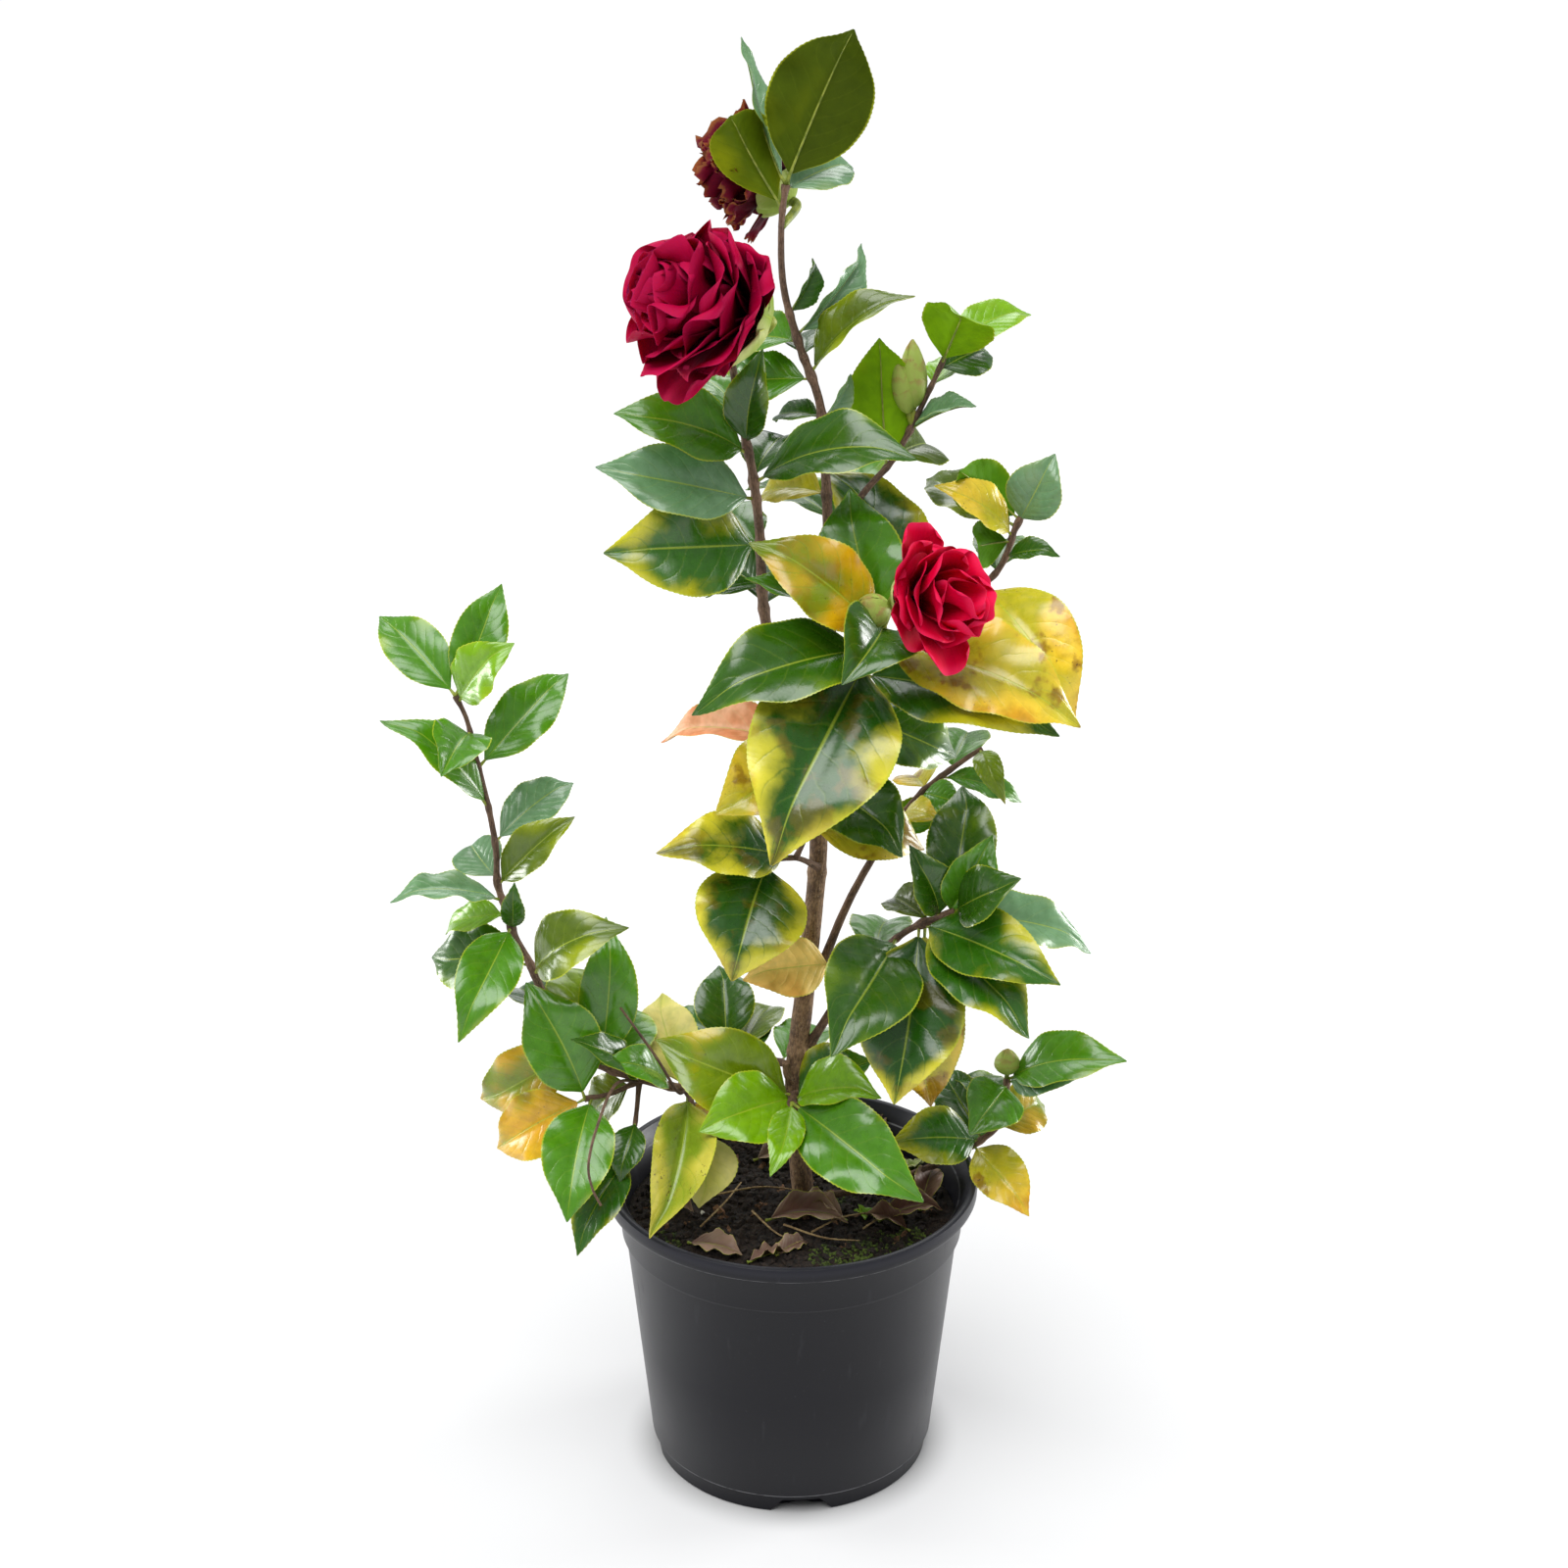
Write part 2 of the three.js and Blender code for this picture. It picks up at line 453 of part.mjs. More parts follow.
// The bare foot of each bough, as a share of its length, and the limb that carries it.
const boughs = {
  upper_right_bough: { of: 'leader', bare: 0.42 },
  upper_left_bough: { of: 'bloomStem', bare: 0.36, on: 'leader' },
  bud_shoot_bough: { of: 'budShoot', bare: 0.38, on: 'leader' },
  side_shoot_bough: { of: 'sideShoot', bare: 0.4, on: 'leader' },
  front_bough: { of: 'frontShoot', bare: 0.34 },
  lower_right_bough: { of: 'rightBough', bare: 0.48 },
  middle_right_bough: { of: 'midRight', bare: 0.5 },
  low_right_branch: { of: 'lowRight', bare: 0.46 },
  left_bough: { of: 'leftBough', bare: 0.3 },
};

// Each mass: the limb its stem is on, the share where the stem starts, and the twigs that leave it.
const masses = {
  top_foliage: { stem: 'leader', from: 0.42 },
  upper_left_foliage: { stem: 'bloomStem', from: 0.36 },
  bud_shoot_foliage: { stem: 'budShoot', from: 0.38, buds: [[0.63, 95, 80, 8, 30, 6]] },
  side_shoot_foliage: { stem: 'sideShoot', from: 0.4, buds: [[1, 60, 70, 1, 9, 2.2]] },
  front_foliage: { stem: 'frontShoot', from: 0.34, buds: [[1, -120, 45, 7, 17, 8]] },
  back_foliage: { stem: 'backShoot', from: 0, on: 'leader' },
  lower_right_foliage: { stem: 'rightBough', from: 0.48 },
  middle_right_foliage: { stem: 'midRight', from: 0.5 },
  low_right_foliage: { stem: 'lowRight', from: 0.46, buds: [[1, 90, 85, 2, 14, 6.4]] },
  collar_foliage: { stem: 'collarTwig', from: 0, twigs: ['collarSpur'] },
  stem_spur_foliage: { stem: 'stemSpur', from: 0 },
  front_low_foliage: { stem: 'frontLow', from: 0 },
  back_low_foliage: { stem: 'backLow', from: 0 },
  low_left_foliage: {
    stem: 'leftBough', from: 0.3, twigs: ['leftTwig', 'hangingTwig', 'droppingTwig', 'bareTwig', 'deadTwig'],
  },
  left_shoot_foliage: { stem: 'leftShoot', from: 0, on: 'leftBough' },
};

/** What a new limb is cut clear of: the main stem and the limb that carries it, grown by the gap. */
function clearance(carrier) {
  if (!carrier) return mainStemSolid(GAP);
  const { curve, radiusAt } = limbs[carrier];
  const tip = new THREE.IcosahedronGeometry(radiusAt(1) + GAP, 1).translate(...curve.getPointAt(1).toArray());
  return join([mainStemSolid(GAP), limbSolid(limbs[carrier], 0, 1, LIMB_SIDES, GAP), solidFrom(tip)]);
}

/** The largest piece of a solid once close corners are merged: no scrap is left by a cut or a join. */
function largest(solid) {
  const { vertProperties, triVerts } = solid.getMesh();
  const geometry = new THREE.BufferGeometry();
  geometry.setAttribute('position', new THREE.BufferAttribute(vertProperties, 3));
  geometry.setIndex(new THREE.BufferAttribute(triVerts, 1));
  const pieces = solidFrom(geometry.toNonIndexed()).decompose();
  return pieces.reduce((best, piece) => (piece.volume() > best.volume() ? piece : best));
}

function boughSolid({ of, bare, on }) {
  return largest(limbSolid(limbs[of], 0, bare).subtract(clearance(on)));
}

function massSolid({ stem, from, on, twigs = [], buds = [] }) {
  const branch = limbs[stem];
  const start = from > 0 ? from + GAP / branch.length : 0;
  const grown = [limbSolid(branch, start, 1), ...twigs.map((twig) => limbSolid(limbs[twig]))];
  for (const name of [stem, ...twigs]) {
    grown.push(...(leaves[name] ?? []).map((row) => leaf(limbs[name], row)));
  }
  for (const [at, ...shape] of buds) grown.push(...bud(branch, at, ...shape));
  return largest(join(grown).subtract(clearance(on)));
}

/** The colour that a mass's leaves mix to. */
function mixedTint({ stem, twigs = [] }) {
  const rows = [stem, ...twigs].flatMap((name) => leaves[name] ?? []);
  const tints = rows.map((row) => new THREE.Color(TINTS[row[6]]));
  return tints.reduce((mix, tint) => mix.add(tint), new THREE.Color(0)).multiplyScalar(1 / tints.length);
}

// ---------------------------------------------------------------- blooms

// Each bloom: where its stalk starts, its centre, the way it faces, its radius and its rings of petals.
// A ring is [petals, how far they open from the axis in degrees, length and width as shares].
const blooms = {
  large_bloom: {
    finish: 'crimson', from: ['bloomStem', 1], centre: [-41, -60, 613], facing: [-160, 20], radius: 33,
    rings: [[6, 90, 1.05, 1.05], [5, 58, 1.05, 1], [3, 26, 1.02, 0.9]],
  },
  small_bloom: {
    finish: 'scarlet', from: ['frontShoot', 1], centre: [64, -86, 491], facing: [-70, 25], radius: 25,
    rings: [[6, 88, 1.1, 1], [4, 50, 1.1, 1]],
  },
  spent_bloom: {
    finish: 'spent', from: ['leader', 0.93], centre: [-18, 32, 656], facing: [150, 30], radius: 22,
    rings: [[5, 84, 1.12, 1], [4, 44, 1.12, 0.9]],
  },
};

/** A double bloom: a rounded heart, rings of broad petals, a green calyx and its stalk. */
function bloomSolid({ from: [name, at], centre, facing, radius, rings }) {
  const middle = vector(centre);
  const { along, face, across } = axesOf(...facing, 0);
  const foot = limbs[name].curve.getPointAt(at);
  const calyx = middle.clone().addScaledVector(along, -radius * 0.75);
  const heart = new THREE.IcosahedronGeometry(radius * 0.86, 1).translate(...centre);
  const stalk = limb([foot.toArray(), foot.clone().lerp(calyx, 0.5).toArray(), calyx.toArray()], 1.6, 2);
  const cup = new THREE.IcosahedronGeometry(radius * 0.34, 1).translate(...calyx.toArray());
  const solids = [solidFrom(heart), solidFrom(cup), limbSolid(stalk)];
  rings.forEach(([count, opening, long, wide], ring) => {
    for (let i = 0; i < count; i++) {
      const turn = ((i + ring * 0.5) / count) * 2 * Math.PI;
      const out = face.clone().multiplyScalar(Math.cos(turn)).addScaledVector(across, Math.sin(turn));
      const lean = radians(opening);
      const reach = along.clone().multiplyScalar(Math.cos(lean)).addScaledVector(out, Math.sin(lean));
      const upper = along.clone().multiplyScalar(Math.sin(lean)).addScaledVector(out, -Math.cos(lean));
      const axes = { along: reach, face: upper, across: new THREE.Vector3().crossVectors(reach, upper) };
      solids.push(blade(middle, axes, radius * long, radius * wide, PETAL_OUTLINE, {
        arch: -0.1, fold: 16, neck: 0.1, neckRadius: 2, thickness: 2.6,
      }));
    }
  });
  return largest(join(solids).subtract(clearance(name)));
}

// ---------------------------------------------------------------- the whole plant

const plant = new THREE.Group();
plant.add(subPart('nursery_pot', 'pot', nurseryPot()));
plant.add(subPart('potting_soil', 'soil', pottingSoil()));
plant.add(subPart('main_stem', 'bark', mainStemSolid()));
for (const [name, bough] of Object.entries(boughs)) plant.add(subPart(name, 'bark', boughSolid(bough)));
for (const [name, mass] of Object.entries(masses)) {
  plant.add(subPart(name, 'foliage', massSolid(mass), mixedTint(mass)));
}
for (const [name, bloom] of Object.entries(blooms)) plant.add(subPart(name, bloom.finish, bloomSolid(bloom)));

export default plant;
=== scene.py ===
# %% [markdown]
# # A camellia in its nursery pot
# This lesson dresses a measured model of a small camellia. The model gives the pot, the compost, the
# stems and plain solids for the leaves, all at their real size, and every piece made here stands where
# its solid stands. Lengths are written in millimetres and turned into Blender's metres by MM.

# %% Load the model
import math
import random

import bmesh
import bpy
import numpy as np
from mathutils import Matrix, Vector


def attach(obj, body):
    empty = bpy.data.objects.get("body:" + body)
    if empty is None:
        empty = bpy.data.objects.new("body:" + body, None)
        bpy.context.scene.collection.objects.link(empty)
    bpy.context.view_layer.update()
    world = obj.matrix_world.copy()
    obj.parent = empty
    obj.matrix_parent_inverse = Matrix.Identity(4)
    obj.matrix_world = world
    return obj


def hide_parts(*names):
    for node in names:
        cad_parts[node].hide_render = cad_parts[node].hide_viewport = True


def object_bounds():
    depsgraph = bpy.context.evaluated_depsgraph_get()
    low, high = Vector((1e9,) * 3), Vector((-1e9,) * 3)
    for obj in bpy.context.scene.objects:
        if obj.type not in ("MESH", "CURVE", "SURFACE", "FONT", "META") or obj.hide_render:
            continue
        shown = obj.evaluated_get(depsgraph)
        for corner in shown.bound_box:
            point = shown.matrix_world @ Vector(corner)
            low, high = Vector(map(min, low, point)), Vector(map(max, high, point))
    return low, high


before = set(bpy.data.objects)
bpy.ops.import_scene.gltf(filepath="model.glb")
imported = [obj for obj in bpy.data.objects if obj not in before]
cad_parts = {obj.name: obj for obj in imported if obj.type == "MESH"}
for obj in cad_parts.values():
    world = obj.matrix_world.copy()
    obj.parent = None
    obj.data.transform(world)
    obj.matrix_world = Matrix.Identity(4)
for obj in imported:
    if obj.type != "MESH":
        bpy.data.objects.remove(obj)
solid_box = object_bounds()
MM = 0.001
UP = np.array([0, 0, 1])
print("nodes in the model:", len(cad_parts))


def link(made):
    """Puts an object in the scene, and hands it back."""
    bpy.context.collection.objects.link(made)
    return made


# %% [markdown]
# ## Camera
# The eye is a little above the plant and looks down at it, so the camera is tilted from the level.
# Its lens is longer than that of a room view, which keeps the pot's sides nearly upright.

# %% Camera
CAMERA_PLACE = (-0.0038, -1.2574, 0.8586)
CAMERA_TILT = 68.73                      # degrees from looking straight down
CAMERA_LENS = 64.08
CAMERA_SENSOR = 36

camera = link(bpy.data.objects.new("camera", bpy.data.cameras.new("camera")))
camera.location = CAMERA_PLACE
camera.rotation_euler = (math.radians(CAMERA_TILT), 0, 0)
camera.data.lens = CAMERA_LENS
camera.data.sensor_width = CAMERA_SENSOR
bpy.context.scene.camera = camera
print("camera", CAMERA_LENS, "mm")

# %% [markdown]
# ## Light and floor
# A plant in a white studio is lit from all round. Most of the light falls from above: a sun lamp with
# a very large disc lights the whole floor alike, so the paper stays white as far as it can be seen. A
# lamp on each side draws the pale lines down the pot's flanks, and a soft box behind the plant gives
# the waxy leaves their broad pale sheen. The colours are shown without a film look, because petals
# that are almost pure red would be greyed by one.

# %% Light and floor
ROOM_LIGHT = 0.36
ROOM_COLOUR = (0.95, 0.975, 1, 1)        # a trace of blue
SKY_LIGHT = 3.3
SKY_WIDTH = 52                           # degrees across
SKY_TILT = (20, -10, 0)                  # towards the front, and a little to the left
LAMPS = {
    # name: (place, size, watts)
    "left_side": ((-1.4, 0.5, 0.5), 0.6, 13),
    "right_side": ((1.4, 0.5, 0.5), 0.6, 18),
    "soft_box": ((0.1, 1.6, 1.75), 1.2, 12),
}


def add_lamp(name, place, size, watts):
    lamp = link(bpy.data.objects.new(name, bpy.data.lights.new(name, "AREA")))
    lamp.data.size = size
    lamp.data.energy = watts
    lamp.location = place
    aim = (solid_box[0] + solid_box[1]) / 2 - lamp.location
    lamp.rotation_euler = aim.to_track_quat("-Z", "Y").to_euler()


for name, (place, size, watts) in LAMPS.items():
    add_lamp(name, place, size, watts)

sky = link(bpy.data.objects.new("sky", bpy.data.lights.new("sky", "SUN")))
sky.data.energy = SKY_LIGHT
sky.data.angle = math.radians(SKY_WIDTH)
sky.rotation_euler = [math.radians(angle) for angle in SKY_TILT]

world = bpy.data.worlds.new("bright room")
world.use_nodes = True
background = world.node_tree.nodes["Background"]
background.inputs["Color"].default_value = ROOM_COLOUR
background.inputs["Strength"].default_value = ROOM_LIGHT
bpy.context.scene.world = world
bpy.context.scene.view_settings.view_transform = "Standard"
print("lamps: sky,", ", ".join(LAMPS))

# %% [markdown]
# ## Sums on sockets
# A material is a sum of patterns. Value wraps one socket of a node, so that a line of Python such as
# 1 - mask adds the Math node that works it out. Finish holds one material. Its node method adds any
# node, sets what the node needs first, and then gives its sockets numbers or links.


# %% Sums on sockets
class Value:
    """One output socket, which Python's operators can work with."""

    def __init__(self, owner, socket):
        self.owner = owner
        self.socket = socket

    def maths(self, operation, *terms):
        return self.owner.node("ShaderNodeMath", {"operation": operation}, dict(enumerate(terms)))

    def __add__(self, other):
        return self.maths("ADD", self, other)

    def __radd__(self, other):
        return self.maths("ADD", other, self)

    def __sub__(self, other):
        return self.maths("SUBTRACT", self, other)

    def __rsub__(self, other):
        return self.maths("SUBTRACT", other, self)

    def __mul__(self, other):
        return self.maths("MULTIPLY", self, other)

    def __rmul__(self, other):
        return self.maths("MULTIPLY", other, self)

    def __abs__(self):
        return self.maths("ABSOLUTE", self)

    def fraction(self):
        return self.maths("FRACT", self)

    def at_least(self, other):
        return self.maths("MAXIMUM", self, other)

    def ramp(self, low, high):
        """0 below low, 1 above high, and smooth between them."""
        settings = {"interpolation_type": "SMOOTHSTEP", "clamp": True}
        return self.owner.node("ShaderNodeMapRange", settings, {"Value": self, 1: low, 2: high})


ways = [name for name, way in vars(Value).items() if callable(way) and name != "__init__"]
print("ways to work with a socket:", len(ways))

# %% [markdown]
# The same wrapper works for the nodes of a material and for Geometry Nodes, so both share this base.
# A colour and a vector have nodes of their own: a Math node would turn a colour grey.


# %% Node trees
class Nodes:
    """A node tree, with one method that adds any node to it."""

    def __init__(self, tree):
        self.tree = tree

    def node(self, kind, settings=None, inputs=None, output=0):
        made = self.tree.nodes.new(kind)
        for key, value in (settings or {}).items():
            setattr(made, key, value)
        for key, value in (inputs or {}).items():
            self.feed(made.inputs[key], value)
        return Value(self, made.outputs[output])

    def feed(self, socket, value):
        if isinstance(value, Value):
            self.tree.links.new(value.socket, socket)
        else:
            socket.default_value = value


print("a node tree takes a node's type, its settings, and the values or links of its sockets")

# %% [markdown]
# A finish is a material with one Principled shader. What is the same all over a piece is a number on
# the shader's own socket. Noise is read at the place on the piece, so its blobs have a real size.


# %% Materials
class Finish(Nodes):
    """A material, and the patterns that it can be summed from."""

    def __init__(self, name, **constants):
        self.material = bpy.data.materials.new(name)
        self.material.use_nodes = True
        super().__init__(self.material.node_tree)
        self.shader = self.tree.nodes["Principled BSDF"]
        for key, value in constants.items():
            self.shader.inputs[key.replace("_", " ")].default_value = value

    def set(self, socket, value):
        self.feed(self.shader.inputs[socket], value)

    def place(self):
        return self.node("ShaderNodeTexCoord", output="Object")

    def blade(self):
        """How far along its blade a place is and how far across, each from 0 to 1."""
        places = self.node("ShaderNodeUVMap", {"uv_map": "blade"})
        return [self.node("ShaderNodeSeparateXYZ", {}, {"Vector": places}, side) for side in "XY"]

    def noise(self, place, size, detail=3, stretch=(1, 1, 1)):
        """Noise whose blobs are about `size` millimetres across."""
        placed = self.node("ShaderNodeMapping", {}, {"Vector": place, "Scale": stretch})
        sizes = {"Vector": placed, "Scale": 1 / (size * MM), "Detail": detail}
        return self.node("ShaderNodeTexNoise", {}, sizes)

    def mix(self, share, first, second):
        """A colour between two, by a share from 0 to 1."""
        return self.node("ShaderNodeMix", {"data_type": "RGBA"}, {0: share, 6: first, 7: second}, 2)

    def bump(self, height, depth, strength=1.0):
        """Relief up to `depth` millimetres deep, which catches the light but moves nothing."""
        inputs = {"Height": height, "Distance": depth * MM, "Strength": strength}
        self.set("Normal", self.node("ShaderNodeBump", {}, inputs))


ways = [name for name, way in vars(Finish).items() if callable(way) and name != "__init__"]
print("ways to build a finish:", ", ".join(ways))

# %% [markdown]
# A screen shows a colour's numbers after a curve that favours the dark tones. Blender counts light
# itself, so the curve is undone.


# %% Paint
def paint(code):
    """A colour as Blender holds it, from the six digits that a paint program shows."""
    parts = [int(code[i:i + 2], 16) / 255 for i in (0, 2, 4)]
    linear = [part / 12.92 if part <= 0.04045 else ((part + 0.055) / 1.055) ** 2.4 for part in parts]
    return (*linear, 1)


print("a mid grey of 808080 is", round(paint("808080")[0], 3), "to Blender")

# %% [markdown]
# The floor is one wide pale sheet. It belongs to the stage and not to the plant. It glows a little, a
# painted light that keeps the plant's shadow faint. Under the pot it doesn't glow, and beside the pot it
# glows less: a painted shade round the pot's foot.

# %% Floor
FLOOR_SIDE = 30
FLOOR_GREY = (0.42, 0.42, 0.42, 1)
PAINTED_FLOOR_GLOW = 0.48
GLOW_COLOUR = (0.98, 0.98, 1, 1)
SHADE_UNDER_POT = (0.066, 0.09)               # metres from the pot's axis: no glow inside the first, a painted shade under the pot; the glow comes in between these
NEAR_POT_SHADED_GLOW = 0.65                         # the share of the glow beside the pot, less than full: a painted shade
FULL_GLOW = 2.2                          # metres from the axis, where the paper glows most

bpy.ops.mesh.primitive_plane_add(size=FLOOR_SIDE)
floor = bpy.context.object
floor.name = "floor"
floor_finish = Finish("floor_paper", Roughness=0.7)
floor_finish.shader.inputs["Base Color"].default_value = FLOOR_GREY
floor_finish.shader.inputs["Emission Strength"].default_value = PAINTED_FLOOR_GLOW
far = floor_finish.node("ShaderNodeVectorMath", {"operation": "LENGTH"}, {0: floor_finish.place()}, "Value")
# The glow's share: none under the pot and less beside it, a painted shade round the pot's foot.
share = far.ramp(*SHADE_UNDER_POT) * (far.ramp(0, FULL_GLOW) * (1 - NEAR_POT_SHADED_GLOW) + NEAR_POT_SHADED_GLOW)
floor_finish.set("Emission Color", floor_finish.mix(share, paint("000000"), GLOW_COLOUR))
floor.data.materials.append(floor_finish.material)
print("floor", FLOOR_SIDE, "m across")

# %% [markdown]
# ## Gathering meshes
# A leaf, a petal and a twig are each a few rows of corners. Sheath gathers many of them, and makes one
# mesh at the end. Every corner has a place on its blade: how far along it is, and how far across. A
# second map gives each blade a patch of its own, so that no two of them share a piece of a picture.


# %% Gather meshes
PATCH_MARGIN = 0.04                      # what stays free round a blade in its patch


class Sheath:
    """Corners and faces from many blades and tubes, for one mesh."""

    def __init__(self):
        self.corners = []
        self.blade_places = []
        self.faces = []
        self.face_finish = []
        self.face_patch = []
        self.finishes = []
        self.rims = []
        self.patches = 0

    def finish(self, material):
        if material not in self.finishes:
            self.finishes.append(material)
        return self.finishes.index(material)

    def add(self, corners, places, faces, material, rim=None):
        """One more surface, in a patch of its own. rim marks the corners on its edge."""
        start = len(self.corners)
        self.corners += [tuple(corner) for corner in corners]
        self.blade_places += [tuple(place) for place in places]
        self.rims += [False] * len(corners) if rim is None else list(rim)
        self.more(faces, start, material)
        return start

    def more(self, faces, start, material):
        """More faces on corners that are there already, such as the back of a blade."""
        number = self.finish(material)
        self.faces += [[corner + start for corner in face] for face in faces]
        self.face_finish += [number] * len(faces)
        self.face_patch += [self.patches] * len(faces)
        self.patches += 1

    def mesh(self, name):
        made = bpy.data.meshes.new(name)
        made.from_pydata(self.corners, [], self.faces)
        for material in self.finishes:
            made.materials.append(material)
        made.polygons.foreach_set("material_index", self.face_finish)
        made.polygons.foreach_set("use_smooth", [True] * len(self.faces))
        self.lay_maps(made)
        self.crease_rims(made)
        made.update()
        return made

    def lay_maps(self, made):
        sides = [len(face) for face in self.faces]
        order = np.fromiter((corner for face in self.faces for corner in face), int, sum(sides))
        places = np.array(self.blade_places)[order]
        made.uv_layers.new(name="blade").data.foreach_set("uv", places.astype(np.float32).ravel())
        across = math.ceil(math.sqrt(self.patches / 2))
        down = math.ceil(self.patches / across)
        patch = np.repeat(self.face_patch, sides)
        low = np.stack([patch % across / across, patch // across / down], 1)
        size = np.array([1 / across, 1 / down])
        inside = low + size * (PATCH_MARGIN + (1 - 2 * PATCH_MARGIN) * places.clip(0, 1))
        made.uv_layers.new(name="OFBake").data.foreach_set("uv", inside.astype(np.float32).ravel())

    def crease_rims(self, made):
        rims = np.array(self.rims)
        ends = np.zeros(len(made.edges) * 2, int)
        made.edges.foreach_get("vertices", ends)
        creased = rims[ends].reshape(-1, 2).all(1)
        made.attributes.new("sharp_edge", "BOOLEAN", "EDGE").data.foreach_set("value", creased)


print("every mesh gets a map of its blades, and one with a patch for each blade")

# %% [markdown]
# A finished mesh becomes a piece of the plant: it rides on the plant's one body, and it may stand
# for some of the model's solids, which are then hidden.


# %% Pieces
def piece(name, mesh, nodes=()):
    """A finished piece: it rides on the plant's one body, and stands for the solids it replaces."""
    made = link(bpy.data.objects.new(name, mesh))
    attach(made, "root")
    if nodes:
        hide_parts(*nodes)
    mesh.calc_loop_triangles()
    print(f"{name}: {len(mesh.loop_triangles)} triangles")


# %% [markdown]
# ## Directions
# A leaf is placed as a gardener would say it: which way it points round the plant (its heading, 0 to
# the right and 90 to the back), how far it points up (its pitch), and how far it is rolled about its
# own length. These three give the directions along it, out of its upper face, and across it.


# %% Directions
def unit(vector):
    return vector / np.linalg.norm(vector)


def pointing(heading, pitch):
    turn, rise = math.radians(heading), math.radians(pitch)
    flat = math.cos(rise)
    return np.array([flat * math.cos(turn), flat * math.sin(turn), math.sin(rise)])


def axes_of(heading, pitch, roll):
    """The directions along a leaf, out of its upper face, and across it."""
    along = pointing(heading, pitch)
    tilt = math.radians(roll)
    level = unit(UP - along * along[2])
    face = level * math.cos(tilt) + np.cross(along, level) * math.sin(tilt)
    return along, face, np.cross(along, face)


def smooth(low, high, value):
    """0 below low, 1 above high, and smooth between them."""
    share = np.clip((value - low) / (high - low), 0, 1)
    return share * share * (3 - 2 * share)


def circle_angles(count):
    return np.arange(count) * 2 * math.pi / count


print("a leaf that points back and half up runs along", pointing(90, 45).round(2))

# %% [markdown]
# ## Tubes
# Stalks, midribs, straws and dead twigs are tubes along a line. Each ring is turned with the line by
# the smallest turn, so that the tube never twists, and both ends are closed by a point.


# %% Tubes
ODD_WAY = (0.31, 0.87, 0.39)             # a direction in which no tube starts


def tube_rings(line, radii, sides):
    """Rings of corners round a line, with no twist between one ring and the next."""
    steps = np.gradient(line, axis=0)
    steps = steps / np.linalg.norm(steps, axis=1)[:, None]
    side = unit(np.cross(steps[0], ODD_WAY))
    angles = circle_angles(sides)
    rings = []
    for centre, step, radius in zip(line, steps, radii):
        side = unit(side - step * (side @ step))
        other = np.cross(step, side)
        rings.append(centre + radius * (np.outer(np.cos(angles), side) + np.outer(np.sin(angles), other)))
    return np.array(rings)


def tube(sheath, line, radii, sides, material):
    """A tube along a line, closed by a point at each end."""
    line = np.asarray(line, float)
    rings = tube_rings(line, radii, sides)
    count = len(line)
    corners = [line[0], *rings.reshape(-1, 3), line[-1]]
    places = [(0, 0.5)]
    places += [(i / (count - 1), abs(2 * j / sides - 1)) for i in range(count) for j in range(sides)]
    places += [(1, 0.5)]
    last = count * sides + 1
    faces = [[0, 1 + (j + 1) % sides, 1 + j] for j in range(sides)]
    faces += [
        [1 + i * sides + j, 1 + i * sides + (j + 1) % sides,
         1 + (i + 1) * sides + (j + 1) % sides, 1 + (i + 1) * sides + j]
        for i in range(count - 1) for j in range(sides)
    ]
    top = 1 + (count - 1) * sides
    faces += [[last, top + j, top + (j + 1) % sides] for j in range(sides)]
    sheath.add(corners, places, faces, material)


print("a tube of six sides has", tube_rings(np.outer(range(3), UP), [1] * 3, 6).shape[1], "corners a ring")

# %% [markdown]
# ## Limbs
# A limb is a smooth curve through a few places, and tapers along it. The curve is a Catmull-Rom
# spline, the same rule as in the model, so bark made here covers the model's limbs.


# %% Limbs
def catmull_rom(places, steps=30):
    """A smooth line through these places, with `steps` steps between one and the next."""
    points = np.array(places, float)
    points = np.vstack([2 * points[0] - points[1], points, 2 * points[-1] - points[-2]])
    share = np.linspace(0, 1, steps, endpoint=False)[:, None]
    line = []
    for a, b, c, d in zip(points, points[1:], points[2:], points[3:]):
        start, end = (c - a) / 2, (d - b) / 2
        bend = 2 * (b - c) + start + end
        line.append(b + share * start + share**2 * (c - b - start - bend) + share**3 * bend)
    return np.vstack([*line, points[-2]])


class Limb:
    """A limb's curve and its taper, in millimetres where it is made and in metres afterwards."""

    def __init__(self, places, start_radius, end_radius):
        self.line = catmull_rom(places) * MM
        self.far = np.concatenate([[0], np.cumsum(np.linalg.norm(np.diff(self.line, axis=0), axis=1))])
        self.length = self.far[-1]
        self.radii = (start_radius * MM, end_radius * MM)

    def place(self, share):
        far = np.asarray(share) * self.length
        return np.stack([np.interp(far, self.far, self.line[:, i]) for i in range(3)], -1)

    def radius(self, share):
        return self.radii[0] + (self.radii[1] - self.radii[0]) * np.asarray(share)


print("a line through three places, in two steps each, has", len(catmull_rom(np.eye(3), 2)), "places")

# %% [markdown]
# The stem stands a little off the pot's middle and forks at a hand's width over the rim. The leader
# carries on up, the bloom stem leans out to the left, and shoots leave them on the right. Each limb is
# given by places of (right, back, up), and by its radius at its foot and at its tip.

